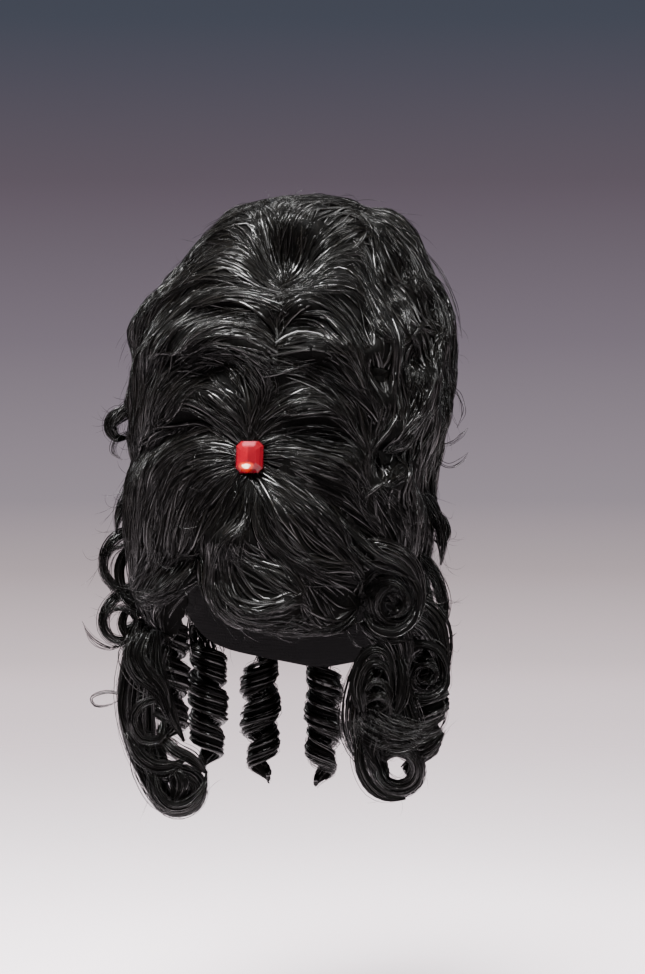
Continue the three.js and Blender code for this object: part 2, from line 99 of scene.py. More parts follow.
# Picture pixels of points in the frame
def toPixels(points):
    away = points - cameraPlace
    depth = -(away @ pictureBack)
    across = (away @ pictureRight) / depth
    upward = (away @ pictureUp) / depth
    reach = picture["distance"] / pixelSize
    return np.stack((middleX + across * reach, middleY - upward * reach), -1)


# Points in the frame of picture pixels, a depth in mm in front of the crown
def fromPixels(pixels, depth):
    pixels = np.asarray(pixels, float)
    flat = (pixels[:, :1] - middleX) * pictureRight - (pixels[:, 1:] - middleY) * pictureUp
    far = (cameraPlace @ pictureBack - depth * mm) / picture["distance"]
    return cameraPlace - pictureBack * picture["distance"] * far + flat * pixelSize * far


# Finishes: arithmetic on a Value adds Math nodes
class Value:
    def __init__(self, finish, socket):
        self.finish, self.socket = finish, socket

    def combine(self, operation, first, second):
        return self.finish.node("ShaderNodeMath", {"operation": operation}, {0: first, 1: second})

    def __add__(self, other):
        return self.combine("ADD", self, other)

    def __sub__(self, other):
        return self.combine("SUBTRACT", self, other)

    def __rsub__(self, other):
        return self.combine("SUBTRACT", other, self)

    def __mul__(self, other):
        return self.combine("MULTIPLY", self, other)

    def __pow__(self, other):
        return self.combine("POWER", self, other)


# The nodes of one material, or of the surroundings
class Finish:
    def __init__(self, holder):
        self.holder = holder
        holder.use_nodes = True
        self.tree = holder.node_tree
        self.tree.nodes.clear()

    def node(self, kind, settings=None, sockets=None, output=0):
        made = self.tree.nodes.new(kind)
        for key, value in (settings or {}).items():
            setattr(made, key, value)
        for key, value in (sockets or {}).items():
            if isinstance(value, Value):
                self.tree.links.new(value.socket, made.inputs[key])
            else:
                made.inputs[key].default_value = value
        return Value(self, made.outputs[output]) if made.outputs else made

    def place(self):
        return self.node("ShaderNodeTexCoord", None, None, 3)

    def stretch(self, place, scale):
        return self.node("ShaderNodeMapping", None, {"Vector": place, "Scale": scale})

    def noise(self, place, scale, detail=2):
        return self.node("ShaderNodeTexNoise", None, {"Vector": place, "Scale": scale, "Detail": detail})

    def bump(self, height, strength, distance):
        sockets = {"Height": height, "Strength": strength, "Distance": distance}
        return self.node("ShaderNodeBump", None, sockets)

    def between(self, value, low, high):
        limits = {"Value": value, "From Min": low, "From Max": high}
        return self.node("ShaderNodeMapRange", {"interpolation_type": "SMOOTHSTEP"}, limits)

    def mix(self, factor, first, second):
        sockets = {0: factor, 6: self.colour(first), 7: self.colour(second)}
        return self.node("ShaderNodeMix", {"data_type": "RGBA"}, sockets, 2)

    def colour(self, value):
        return value if isinstance(value, Value) else (*value, 1)

    def surface(self, sockets):
        shader = self.node("ShaderNodeBsdfPrincipled", None, sockets)
        self.node("ShaderNodeOutputMaterial", None, {"Surface": shader})
        return self.holder


hairFinish = {
    "dark": (0.0004, 0.00035, 0.0004),
    "brown": (0.0036, 0.0029, 0.0017),
    "brownness": 2.2,
    "strandsAcross": 72,
    "strandsAlong": 2.0,
    "detail": 2.5,
    "fineness": 0.6,
    "relief": 0.8,
    "reliefDepth": 1 * mm,
    "smooth": 0.22,
    "rough": 0.5,
    "shine": 0.028,
    "glossFrom": 0.46,
    "glossTo": 0.63,
    "glossRough": 0.2,
    "glossIndex": 1.35,
}


# Hair: the strand map runs across the lock in u and from root to tip in v
def makeHairFinish():
    look = hairFinish
    finish = Finish(bpy.data.materials.new("black_hair"))
    strandMap = finish.node("ShaderNodeUVMap", {"uv_map": "OFBake"})
    stretched = finish.stretch(strandMap, (look["strandsAcross"], look["strandsAlong"], 1))
    noise = {"Vector": stretched, "Scale": 1, "Detail": look["detail"], "Roughness": look["fineness"]}
    strand = finish.node("ShaderNodeTexNoise", {"noise_dimensions": "2D"}, noise)
    return finish.surface({
        "Base Color": finish.mix(strand ** 4 * look["brownness"], look["dark"], look["brown"]),
        "Roughness": strand * (look["rough"] - look["smooth"]) + look["smooth"],
        "Normal": finish.bump(strand, look["relief"], look["reliefDepth"]),
        "Coat Weight": finish.between(strand, look["glossFrom"], look["glossTo"]),
        "Specular IOR Level": look["shine"],
        "Coat Roughness": look["glossRough"],
        "Coat IOR": look["glossIndex"],
    })


bodyFinish = {
    "dark": (0.0004, 0.0004, 0.0004),
    "light": (0.0014, 0.0012, 0.001),
    "streak": 420,
    "drawnOut": 0.22,
    "detail": 3,
    "relief": 0.6,
    "reliefDepth": 1 * mm,
    "roughness": 0.6,
    "shine": 0.012,
}


# Matted hair under the locks, with fine streaks down it
def makeBodyFinish():
    look = bodyFinish
    finish = Finish(bpy.data.materials.new("matted_hair"))
    stretched = finish.stretch(finish.place(), (1, 1, look["drawnOut"]))
    streak = finish.noise(stretched, look["streak"], look["detail"])
    return finish.surface({
        "Base Color": finish.mix(streak ** 2, look["dark"], look["light"]),
        "Roughness": look["roughness"],
        "Normal": finish.bump(streak, look["relief"], look["reliefDepth"]),
        "Specular IOR Level": look["shine"],
    })


capFinish = {
    "thread": (0.004, 0.0037, 0.004),
    "gap": (0.001, 0.001, 0.001),
    "rows": 300,
    "rowHeight": 0.6,
    "net": 420,
    "relief": 0.5,
    "reliefDepth": 0.6 * mm,
    "roughness": 0.8,
    "shine": 0.12,
    "crispAngle": 50,
}


# Stretch cap: rows of weft with a fine net between
def makeCapFinish():
    look = capFinish
    finish = Finish(bpy.data.materials.new("stretch_net"))
    place = finish.place()
    bands = {"Vector": place, "Scale": look["rows"]}
    rows = finish.node("ShaderNodeTexWave", {"bands_direction": "Z"}, bands, 1)
    cells = {"Vector": place, "Scale": look["net"]}
    net = finish.node("ShaderNodeTexVoronoi", {"feature": "DISTANCE_TO_EDGE"}, cells)
    return finish.surface({
        "Base Color": finish.mix(rows, look["gap"], look["thread"]),
        "Roughness": look["roughness"],
        "Normal": finish.bump(rows * look["rowHeight"] + net, look["relief"], look["reliefDepth"]),
        "Specular IOR Level": look["shine"],
    })


stoneFinish = {
    # The first two reds: painted shade, darker on one side of the stone's ridge than on the other
    "deep": (0.044, 0.0012, 0.0026),
    "litSideRed": (0.088, 0.0010, 0.0040),
    # Painted glow and painted highlight: an orange-red glow round a pale highlight low on the stone
    "paintedGlow": (0.24, 0.012, 0.001),
    "paintedHighlight": (0.62, 0.50, 0.36),
    # Painted highlight: a paler pink along the top bevel
    "paintedTopSheen": (0.11, 0.016, 0.022),
    "ridge": 0.06,
    # How strongly the painted shade darkens the one side
    "sideShadeStrength": 0.7,
    "cloud": 260,
    "cloudDeepness": 0.5,
    "cloudSpread": 0.9,
    # Where the painted highlight sits on the stone, its shape, and how far it and the painted glow reach
    "highlightAt": (-0.12, -0.60),
    "highlightNarrow": 2.2,
    "highlightFlat": 7,
    "highlightReach": 0.2,
    "paintedGlowFrom": 0.1,
    "paintedGlowReach": 0.9,
    # Where the painted highlight on the top bevel begins and ends, and how far it reaches to the sides
    "topSheenFrom": 0.66,
    "topSheenTo": 0.8,
    "topSheenSides": (0.1, 0.3),
    "roughness": 0.12,
    "index": 1.45,
    "coat": 0.05,
    "coatRough": 0.04,
    "shine": 0.17,
}


# Cut stone: clear red with random clouding, painted shade deepening one side of its ridge, a painted glow
# round a painted highlight low down, and a painted pale highlight on the top bevel
def makeStoneFinish():
    look = stoneFinish
    finish = Finish(bpy.data.materials.new("red_cut_stone"))
    low, high = (np.array(corner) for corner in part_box("stone"))
    place = finish.place()
    shift = {0: place, 1: tuple(-(low + high) / 2)}
    middled = finish.node("ShaderNodeVectorMath", {"operation": "ADD"}, shift)
    scale = {0: middled, 1: tuple(2 / (high - low))}
    scaled = finish.node("ShaderNodeVectorMath", {"operation": "MULTIPLY"}, scale)
    across = finish.node("ShaderNodeSeparateXYZ", None, {0: scaled}, 0)
    upward = finish.node("ShaderNodeSeparateXYZ", None, {0: scaled}, 2)
    cloud = finish.noise(place, look["cloud"])
    aside, down = look["highlightAt"]
    spread = (across - aside) ** 2 * look["highlightNarrow"] + (upward - down) ** 2 * look["highlightFlat"]
    spread = spread + (cloud - 0.5) * look["cloudSpread"]
    # Painted shade: the red deepens on one side of the ridge, and at random with the cloud
    shadedSide = finish.between(across, -look["ridge"], look["ridge"])
    depth = shadedSide * look["sideShadeStrength"] + cloud * look["cloudDeepness"]
    tone = finish.mix(depth, look["litSideRed"], look["deep"])
    # Painted glow and painted highlight low on the stone, blurred at random by the cloud
    tone = finish.mix(1 - finish.between(spread, look["paintedGlowFrom"], look["paintedGlowReach"]), tone, look["paintedGlow"])
    tone = finish.mix(1 - finish.between(spread, 0, look["highlightReach"]), tone, look["paintedHighlight"])
    # Painted highlight: paler along the top bevel, fading to the sides
    middle = 1 - finish.between(across ** 2, *look["topSheenSides"])
    topSheenMask = finish.between(upward, look["topSheenFrom"], look["topSheenTo"]) * middle
    return finish.surface({
        "Base Color": finish.mix(topSheenMask, tone, look["paintedTopSheen"]),
        "Roughness": look["roughness"],
        "IOR": look["index"],
        "Coat Weight": look["coat"],
        "Coat Roughness": look["coatRough"],
        "Specular IOR Level": look["shine"],
    })


pinFinish = {
    "dark": (0.42, 0.42, 0.43),
    "light": (0.62, 0.62, 0.63),
    "grain": 900,
    "smooth": 0.2,
    "rough": 0.4,
}


# Pin: steel with a fine grain
def makePinFinish():
    look = pinFinish
    finish = Finish(bpy.data.materials.new("drawn_steel"))
    grain = finish.noise(finish.place(), look["grain"])
    return finish.surface({
        "Base Color": finish.mix(grain, look["dark"], look["light"]),
        "Metallic": 1.0,
        "Roughness": grain * (look["rough"] - look["smooth"]) + look["smooth"],
    })


blackHair = makeHairFinish()
mattedHair = makeBodyFinish()
print("finishes made")


# Tubes along many paths at once: an ellipse of the given sides at every point
def tubes(centres, wide, deep, halfWide, halfDeep, sides, shade, span=0.0):
    count, steps = centres.shape[:2]
    turn = np.arange(sides) * 2 * math.pi / sides
    ring = wide[:, :, None] * (halfWide[..., None] * np.cos(turn))[..., None]
    ring = ring + deep[:, :, None] * (halfDeep[..., None] * np.sin(turn))[..., None]
    points = (centres[:, :, None] + ring).reshape(-1, 3)
    index = np.arange(count * steps * sides).reshape(count, steps, sides)
    following = np.roll(index, -1, 2)
    corners = (index[:, :-1], following[:, :-1], following[:, 1:], index[:, 1:])
    quads = np.stack(corners, -1).reshape(-1, 4)
    along = np.broadcast_to(np.linspace(0, 1, steps)[None, :, None], index.shape).reshape(-1)
    across = np.reshape(shade, (-1, 1, 1)) + span * (0.5 + 0.5 * np.cos(turn))
    across = np.broadcast_to(across, index.shape).reshape(-1)
    ends = np.concatenate((index[:, 0, ::-1], index[:, -1]))
    return {"points": points, "quads": quads, "ends": ends, "map": np.stack((across, along), -1)}


# One mesh from several sets of tubes
def meshFromTubes(name, sets, finish, core=None):
    sets = sets if core is None else [*sets, core]
    shift = np.cumsum([0] + [len(part["points"]) for part in sets])
    points = np.concatenate([part["points"] for part in sets])
    spots = np.concatenate([part["map"] for part in sets])
    quads = np.concatenate([part["quads"] + start for part, start in zip(sets, shift)])
    caps = [part["ends"] + start for part, start in zip(sets, shift)]
    loops = np.concatenate([quads.reshape(-1)] + [cap.reshape(-1) for cap in caps])
    sizes = np.concatenate([np.full(len(quads), 4)] + [np.full(len(cap), cap.shape[1]) for cap in caps])
    mesh = bpy.data.meshes.new(name)
    mesh.vertices.add(len(points))
    mesh.vertices.foreach_set("co", points.astype(np.float32).reshape(-1))
    mesh.loops.add(len(loops))
    mesh.loops.foreach_set("vertex_index", loops.astype(np.int32))
    mesh.polygons.add(len(sizes))
    mesh.polygons.foreach_set("loop_start", (np.cumsum(sizes) - sizes).astype(np.int32))
    mesh.polygons.foreach_set("use_smooth", np.ones(len(sizes), bool))
    mesh.update(calc_edges=True)
    strandMap = mesh.uv_layers.new(name="OFBake")
    strandMap.data.foreach_set("uv", spots[loops].astype(np.float32).reshape(-1))
    mesh.materials.append(finish)
    if core is not None:
        mesh.materials.append(mattedHair)
        inside = np.zeros(len(sizes), np.int32)
        inside[len(quads) - len(core["quads"]): len(quads)] = 1
        mesh.polygons.foreach_set("material_index", inside)
    piece = bpy.data.objects.new(name, mesh)
    bpy.context.scene.collection.objects.link(piece)
    return piece


def unit(vectors):
    return vectors / np.maximum(np.linalg.norm(vectors, axis=-1, keepdims=True), 1e-9)


def directions(paths):
    return unit(np.gradient(paths, axis=-2))


def smoothStep(value, low, high):
    share = np.clip((value - low) / (high - low), 0, 1)
    return share * share * (3 - 2 * share)


# Along a strand: from its start to full size, and from where it fades to its end
def swelling(share, shape):
    rise = shape["start"] + (1 - shape["start"]) * smoothStep(share, 0, shape["full"])
    return rise * (1 - (1 - shape["end"]) * smoothStep(share, shape["fades"], 1))


# An arch along a strand, highest in the middle
def arch(share, least, power):
    return least + (1 - least) * np.sin(math.pi * share) ** power


aboutOneTurn = 6.3


# Ripples along strands, each with its own rate and start
def drawnRipples(share, rates, shape):
    return share * dice.uniform(*rates, shape) + dice.uniform(0, aboutOneTurn, shape)


# Points on a smooth curve through a few places
def curveThrough(places, count):
    places = np.asarray(places, float)
    padded = np.concatenate((2 * places[:1] - places[1:2], places, 2 * places[-1:] - places[-2:-1]))
    at = np.linspace(0, len(places) - 1, count)
    start = np.minimum(at.astype(int), len(places) - 2)
    t = (at - start)[:, None]
    before, first, second, after = (padded[start + i] for i in range(4))
    bend = (2 * before - 5 * first + 4 * second - after) * t ** 2
    twist = (3 * first - before - 3 * second + after) * t ** 3
    return 0.5 * (2 * first + (second - before) * t + bend + twist)


strandShape = {"sides": 3, "start": 0.55, "full": 0.12, "fades": 0.62, "end": 0.2}
rareWay = np.array((0.31, 0.22, 0.92))  # a way that few strands take


# Strands of hair: thin tubes that narrow to their tips
def strandTubes(paths, radius, shade):
    ahead = directions(paths)
    helper = np.broadcast_to(rareWay, ahead.shape)
    wide = unit(np.cross(ahead, helper))
    deep = np.cross(ahead, wide)
    share = np.linspace(0, 1, paths.shape[1])
    half = np.reshape(radius, (-1, 1)) * swelling(share, strandShape)[None]
    return tubes(paths, wide, deep, half, half, strandShape["sides"], shade)


# Strands with a thickness and a tone drawn for each
def drawnStrands(paths, settings, girth=1):
    radius = dice.uniform(settings["thin"], settings["thick"], len(paths)) * girth
    return strandTubes(paths, radius, dice.uniform(0, 1, len(paths)))


hollowCentre = np.array((0, 0.003, -0.09))
outsideFrom = 0.05  # how far the outside of the body faces away from there, at least
mergeNear = 1e-5


def copyNode(name):
    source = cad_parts[name]
    copied = bpy.data.objects.new(name + "_copy", source.data.copy())
    bpy.context.scene.collection.objects.link(copied)
    return copied


def selectOnly(piece):
    bpy.ops.object.select_all(action="DESELECT")
    piece.select_set(True)
    bpy.context.view_layer.objects.active = piece


def mergeCorners(piece, toQuads=False):
    selectOnly(piece)
    bpy.ops.object.mode_set(mode="EDIT")
    bpy.ops.mesh.select_all(action="SELECT")
    bpy.ops.mesh.remove_doubles(threshold=mergeNear)
    if toQuads:
        bpy.ops.mesh.tris_convert_to_quads()
    bpy.ops.object.mode_set(mode="OBJECT")


def applyModifier(piece, kind, settings):
    selectOnly(piece)
    modifier = piece.modifiers.new(kind.lower(), kind)
    for key, value in settings.items():
        setattr(modifier, key, value)
    bpy.ops.object.modifier_apply(modifier=modifier.name)


def setFinish(piece, finish):
    piece.data.materials.clear()
    piece.data.materials.append(finish)


def nameAndFinish(piece, name, finish):
    piece.name = name
    piece.data.name = name
    setFinish(piece, finish)


def readVectors(items, key, kind):
    values = np.zeros(len(items) * 3, kind)
    items.foreach_get(key, values)
    return values.reshape(-1, 3)


bodySettings = {
    "nodes": ("beehive", "fringe", "sweep_right", "sweep_left"),
    "voxel": 3.7 * mm,
    "soften": {"factor": 0.5, "iterations": 5},
    "settle": {"factor": 0.4, "iterations": 2},
}

# Waves of the hair in the picture: height in mm, half width and line in pixels
waves = {
    "poufCrest": (
        15, 20,
        ((165, 290), (205, 260), (236, 246), (264, 234), (292, 228), (322, 240), (350, 262)),
    ),
    "poufHollow": (-5, 18, ((240, 296), (264, 284), (290, 278), (314, 284), (330, 292))),
    "poufUnderLeft": (-8, 9, ((250, 288), (222, 282), (190, 286), (160, 306))),
    "tierTwoLeft": (7.7, 11, ((272, 312), (232, 302), (190, 312), (146, 356))),
    "tierTwoLeftUnder": (-2.4, 7, ((264, 326), (226, 319), (190, 332), (150, 378))),
    "tierTwoRight": (8.4, 10, ((284, 314), (306, 303), (328, 318), (350, 352))),
    "tierTwoRightUnder": (-3.4, 8, ((292, 332), (312, 328), (334, 348), (352, 378))),
    "tierThreeLeft": (7.7, 11, ((262, 342), (220, 333), (185, 350), (148, 402))),
    "tierThreeLeftUnder": (-4.2, 8, ((250, 362), (222, 360), (190, 384), (156, 430))),
    "tierThreeRight": (8.4, 10, ((290, 348), (322, 350), (350, 374), (376, 410))),
    "tierThreeRightUnder": (-4.6, 8, ((286, 370), (316, 374), (340, 398), (360, 430))),
    "parting": (-7, 7, ((279, 296), (277, 330), (274, 362))),
    "tierFourLeft": (6.3, 10, ((236, 400), (196, 396), (160, 418), (128, 466))),
    "tierFourLeftUnder": (-5.6, 8, ((226, 428), (186, 428), (150, 452), (122, 492))),
    "swirl": (7, 10, ((270, 420), (300, 408), (332, 410), (352, 428))),
    "swirlUnder": (-7, 9, ((282, 434), (312, 432), (342, 440))),
    "columnValley": (-5, 7, ((370, 210), (374, 270), (369, 330), (364, 352))),
    "columnBulge": (5, 15, ((394, 296), (400, 318), (408, 338))),
    "columnDip": (-5.8, 9, ((404, 362), (424, 356), (440, 342))),
    "upperHole": (-11.5, 12, ((374, 372), (384, 378))),
    "lowerHole": (-10.3, 11, ((376, 460), (387, 464))),
    "columnRoll": (5.8, 10, ((428, 372), (420, 402), (400, 424), (380, 432))),
    "columnRollLow": (4.6, 9, ((414, 446), (404, 476), (384, 490))),
    "stoneFanLeft": (4.6, 12, ((232, 448), (196, 444), (160, 462), (128, 500))),
    "templeCrest": (8, 14, ((190, 532), (210, 536), (230, 540), (246, 546))),
    "sweepCrest": (7, 13, ((262, 502), (290, 510), (320, 522), (346, 540))),
    "templeUnder": (-7, 9, ((206, 556), (180, 566), (150, 566))),
    "templeLow": (5.6, 8, ((200, 572), (172, 586), (136, 596))),
    "fringeHollow": (-6.5, 9, ((238, 548), (250, 556), (268, 560), (280, 566))),
    "fringeRoll": (8, 10, ((214, 570), (226, 598), (252, 612), (284, 606), (300, 592))),
    "fringeRidge": (7, 9, ((268, 498), (298, 545), (324, 578))),
    "fringeSwoop": (7.5, 8, ((312, 562), (346, 568), (374, 588))),
    "fringeRightHollow": (-5, 8, ((314, 590), (326, 592), (338, 596))),
}
waveFacing = (0.15, 0.55)
wavePoints = 30
waveSwell = {"start": 0.1, "full": 0.35, "fades": 0.75, "end": 0.4}

# Dents in the outline of the hive: height in mm, half width and line in pixels
edgeWaves = {
    "leftShoulder": (-7, 15, ((200, 228), (184, 246), (170, 262))),
    "leftFlank": (-6, 17, ((122, 360), (119, 378), (119, 396))),
    "crownNotch": (-6, 9, ((368, 202), (371, 212))),
    "rightShoulder": (-4, 12, ((428, 248), (436, 262))),
}
edgePoints = 12

# Curls of the column at the right of the picture, in pixels, with heights and thicknesses in mm
columnCurls = {
    "left": 368,
    "right": 452,
    "top": 214,
    "bottom": 540,
    "fadeAcross": 14,
    "fadeDown": 30,
    "pitch": 44,
    "slant": 0.05,
    "swing": 4.2,
    "height": 1.0,
    "clumpsFrom": 378,
    "clumpsTo": 440,
    "bunchesFrom": 414,
    "bunches": 18,
    "strands": 12,
    "spread": 1.9,
    "lift": 3.4,
    "length": 74,
    "lean": 0.08,
    "shift": 0.25,
    "clear": 14,
}

# Hollows between the curls, each covered by a dark disc of painted shade: half width in mm, middle in pixels
shadedHollows = {"upper": (7.5, (378, 375)), "lower": (6.5, (381, 461))}


# Turn of the curls at pixels of the picture
def curlTurn(spots):
    return 2 * math.pi * spots[..., 1] / columnCurls["pitch"] + columnCurls["slant"] * spots[..., 0]


# How near pixels lie to a line of the picture, from 1 on it to nothing
def nearness(spots, line, halfWidth, swell):
    away = spots[:, None] - curveThrough(line, len(swell))[None]
    return (swell * np.exp(-(away ** 2).sum(-1) / halfWidth ** 2)).max(1)


# Raise and sink the seen side of the body along the waves
def raiseWaves(body):
    mesh, curls = body.data, columnCurls
    places = readVectors(mesh.vertices, "co", np.float32).astype(float)
    facing = readVectors(mesh.vertices, "normal", np.float32).astype(float)
    spots = toPixels(places)
    rise = np.zeros(len(places))
    swell = swelling(np.linspace(0, 1, wavePoints), waveSwell)
    for height, halfWidth, line in waves.values():
        rise += height * nearness(spots, line, halfWidth, swell)
    column = smoothStep(spots[:, 0], curls["left"], curls["left"] + curls["fadeAcross"])
    column *= smoothStep(spots[:, 1], curls["top"], curls["top"] + curls["fadeDown"])
    column *= 1 - smoothStep(spots[:, 1], curls["bottom"] - curls["fadeDown"], curls["bottom"])
    rise += curls["height"] * column * np.cos(curlTurn(spots))
    outside = (facing * unit(places - hollowCentre)).sum(-1) > outsideFrom
    rise *= smoothStep(facing @ pictureBack, *waveFacing) * outside
    for height, halfWidth, line in edgeWaves.values():
        rise += height * nearness(spots, line, halfWidth, np.ones(edgePoints)) * outside
    places += facing * rise[:, None] * mm
    mesh.vertices.foreach_set("co", places.astype(np.float32).reshape(-1))
    mesh.update()


# The matted body: hive, fringe and sweeps grown together, softened, just under the strands
def makeBody():
    copies = [copyNode(name) for name in bodySettings["nodes"]]
    selectOnly(copies[0])
    for copied in copies:
        copied.select_set(True)
    bpy.ops.object.join()
    body = copies[0]
    mergeCorners(body)
    grown = {"mode": "VOXEL", "voxel_size": bodySettings["voxel"], "use_smooth_shade": True}
    applyModifier(body, "REMESH", grown)
    applyModifier(body, "SMOOTH", bodySettings["soften"])
    raiseWaves(body)
    applyModifier(body, "SMOOTH", bodySettings["settle"])
    nameAndFinish(body, "hive_body", mattedHair)
    return body


stoneCut = {
    "flatAngle": 1,
    "inset": 2.6 * mm,
    "rise": 0.9 * mm,
    "ridgeWidth": 0.03,
    "ridgeLength": 0.62,
    "near": 0.5 * mm,
    "facing": 0.8,
}


# The stone: its flat face is cut to a ridge down the middle with a sloping facet at each end
def makeStone():
    stone = copyNode("stone")
    mergeCorners(stone)
    bpy.ops.object.mode_set(mode="EDIT")
    bpy.ops.mesh.dissolve_limited(angle_limit=math.radians(stoneCut["flatAngle"]))
    bpy.ops.mesh.select_mode(type="FACE")
    bpy.ops.mesh.select_all(action="DESELECT")
    bpy.ops.object.mode_set(mode="OBJECT")
    faces = stone.data.polygons
    front = [face.area * (face.normal @ Vector(pictureBack) > stoneCut["facing"]) for face in faces]
    faces[int(np.argmax(front))].select = True
    bpy.ops.object.mode_set(mode="EDIT")
    bpy.ops.mesh.inset(thickness=stoneCut["inset"], depth=stoneCut["rise"])
    bpy.ops.transform.resize(value=(stoneCut["ridgeWidth"], 1, stoneCut["ridgeLength"]))
    bpy.ops.mesh.remove_doubles(threshold=stoneCut["near"])
    bpy.ops.object.mode_set(mode="OBJECT")
    bpy.ops.object.shade_flat()
    nameAndFinish(stone, "cut_stone", makeStoneFinish())
    return stone


# The cap: its panes joined to quads and rounded, with a crisp lower edge
def makeCap():
    cap = copyNode("cap")
    mergeCorners(cap, toQuads=True)
    applyModifier(cap, "SUBSURF", {"levels": 1, "render_levels": 1})
    bpy.ops.object.shade_smooth_by_angle(angle=math.radians(capFinish["crispAngle"]))
    nameAndFinish(cap, "stretch_cap", makeCapFinish())
    return cap


stretchCap = makeCap()
print("cap,", len(stretchCap.data.polygons), "faces")
cutStone = makeStone()
print("stone,", len(cutStone.data.polygons), "facets")
hiveBody = makeBody()
bodyTree = BVHTree.FromObject(hiveBody, bpy.context.evaluated_depsgraph_get())
print("hive body,", len(hiveBody.data.polygons), "faces")


# Nearest points on the body and its facing there
def onBody(points):
    found = [bodyTree.find_nearest(Vector(point)) for point in points]
    places = np.array([hit[0] for hit in found])
    facing = np.array([hit[1] for hit in found])
    return places, facing


# Lie of the hair in the picture, each line from root to tip, in pixels
hairLie = {
    "poufFarLeft": ((262, 296), (228, 282), (190, 280), (150, 300)),
    "poufLeft": ((264, 290), (234, 262), (205, 250), (172, 262)),
    "poufUpperLeft": ((268, 284), (248, 244), (228, 222), (206, 228)),
    "poufTopLeft": ((278, 280), (268, 236), (260, 212), (254, 200)),
    "poufTop": ((288, 280), (290, 236), (296, 212), (302, 198)),
    "poufTopRight": ((296, 282), (314, 244), (332, 222), (346, 206)),
    "poufRight": ((304, 290), (332, 262), (350, 250), (364, 236)),
    "poufFarRight": ((306, 298), (334, 290), (352, 292), (366, 310)),
    "tierTwoLeftUpper": ((272, 304), (232, 286), (186, 292), (138, 336)),
    "tierTwoLeft": ((276, 314), (240, 296), (190, 304), (134, 362)),
    "tierTwoLeftLower": ((278, 330), (244, 310), (196, 318), (134, 392)),
    "tierTwoRightUpper": ((282, 314), (314, 294), (342, 314), (362, 352)),
    "tierTwoRight": ((282, 324), (312, 306), (338, 328), (368, 375)),
    "tierTwoRightLower": ((282, 336), (310, 320), (334, 344), (354, 384)),
    "tierThreeLeftUpper": ((268, 340), (226, 328), (186, 346), (136, 416)),
    "tierThreeLeft": ((266, 352), (230, 340), (192, 360), (138, 436)),
    "tierThreeLeftLower": ((262, 370), (234, 358), (200, 378), (150, 440)),
    "tierThreeRightUpper": ((286, 344), (322, 348), (350, 366), (376, 396)),
    "tierThreeRight": ((288, 356), (320, 360), (350, 386), (385, 430)),
    "tierThreeRightLower": ((282, 372), (310, 374), (338, 396), (366, 440)),
    "tierFourLeft": ((238, 398), (192, 386), (156, 412), (124, 458)),
    "tierFourLeftLower": ((240, 414), (204, 408), (166, 430), (126, 476)),
    "tierFourRight": ((300, 396), (336, 394), (358, 424), (372, 466)),
    "tierFourRightLower": ((284, 412), (318, 412), (346, 432), (366, 462)),
    "stoneUpFarLeft": ((243, 444), (226, 430), (206, 408), (196, 378)),
    "stoneUpLeft": ((246, 440), (236, 418), (226, 396), (222, 368)),
    "stoneUp": ((250, 438), (252, 416), (256, 396), (252, 374)),
    "stoneUpRight": ((253, 440), (264, 418), (280, 404), (300, 396)),
    "swirlTop": ((257, 440), (276, 416), (312, 408), (349, 424)),
    "swirlBottom": ((262, 444), (284, 436), (316, 438), (346, 446)),
    "stoneLeftUpper": ((240, 452), (206, 440), (168, 446), (128, 482)),
    "stoneLeft": ((240, 458), (206, 455), (166, 472), (126, 520)),
    "stoneLeftLower": ((241, 464), (212, 478), (184, 508), (172, 540), (164, 566), (144, 580)),
    "templeOuter": ((243, 470), (222, 498), (200, 530), (188, 560), (168, 580), (138, 592)),
    "templeInner": ((245, 473), (232, 504), (216, 530), (204, 560), (186, 586), (158, 614)),
    "templeEdge": ((236, 530), (210, 556), (196, 576), (180, 600), (160, 630)),
    "fringeEdge": ((246, 474), (228, 520), (206, 558), (208, 590), (226, 614), (256, 627), (286, 622)),
    "fringeArc": ((249, 476), (238, 520), (227, 560), (233, 592), (254, 608), (282, 604), (302, 586)),
    "fringeInner": ((252, 490), (246, 528), (244, 552), (256, 564), (276, 568), (292, 582)),
    "fringeDiagonal": ((254, 474), (274, 514), (300, 552), (328, 588)),
    "fringeUpper": ((257, 472), (296, 510), (330, 548), (366, 580)),
    "fringeSwoop": ((308, 562), (334, 564), (358, 572), (378, 590)),
    "fringeRight": ((296, 578), (308, 604), (328, 624), (352, 618)),
    "fringeTop": ((259, 468), (304, 500), (344, 536), (380, 574)),
    "sweepLower": ((261, 463), (312, 484), (360, 514), (394, 562)),
    "sweepMiddle": ((262, 458), (314, 462), (370, 484), (412, 544)),
    "sweepUpper": ((262, 452), (308, 442), (366, 452), (424, 510)),
    "columnTop": ((376, 206), (396, 214), (416, 232), (432, 262)),
    "columnTopInner": ((372, 216), (382, 234), (394, 250), (412, 268)),
    "columnOuter": ((392, 200), (426, 228), (444, 272), (456, 316)),
    "columnValley": ((371, 226), (369, 258), (375, 284), (370, 312), (374, 340)),
    "bowlUpper": ((374, 262), (384, 286), (398, 302), (408, 324)),
    "bowlLower": ((376, 296), (386, 320), (404, 336), (428, 326)),
    "bowlRight": ((404, 276), (422, 290), (436, 308), (444, 330)),
    "columnSide": ((458, 330), (462, 360), (460, 400), (450, 440)),
    "columnDown": ((432, 340), (436, 364), (444, 388), (444, 412)),
    "holeRight": ((404, 344), (396, 362), (396, 384), (404, 400)),
    "curlArcUpper": ((426, 390), (420, 410), (404, 424), (378, 434)),
    "curlArc": ((434, 406), (426, 424), (408, 440), (378, 452)),
    "curlArcLower": ((424, 440), (412, 462), (396, 478), (366, 490)),
    "columnTail": ((382, 494), (400, 512), (416, 534), (428, 556)),
    "columnTailOuter": ((428, 448), (436, 474), (442, 504), (438, 545)),
}
linePoints = 12
lieLines = [curveThrough(line, linePoints) for line in hairLie.values()]
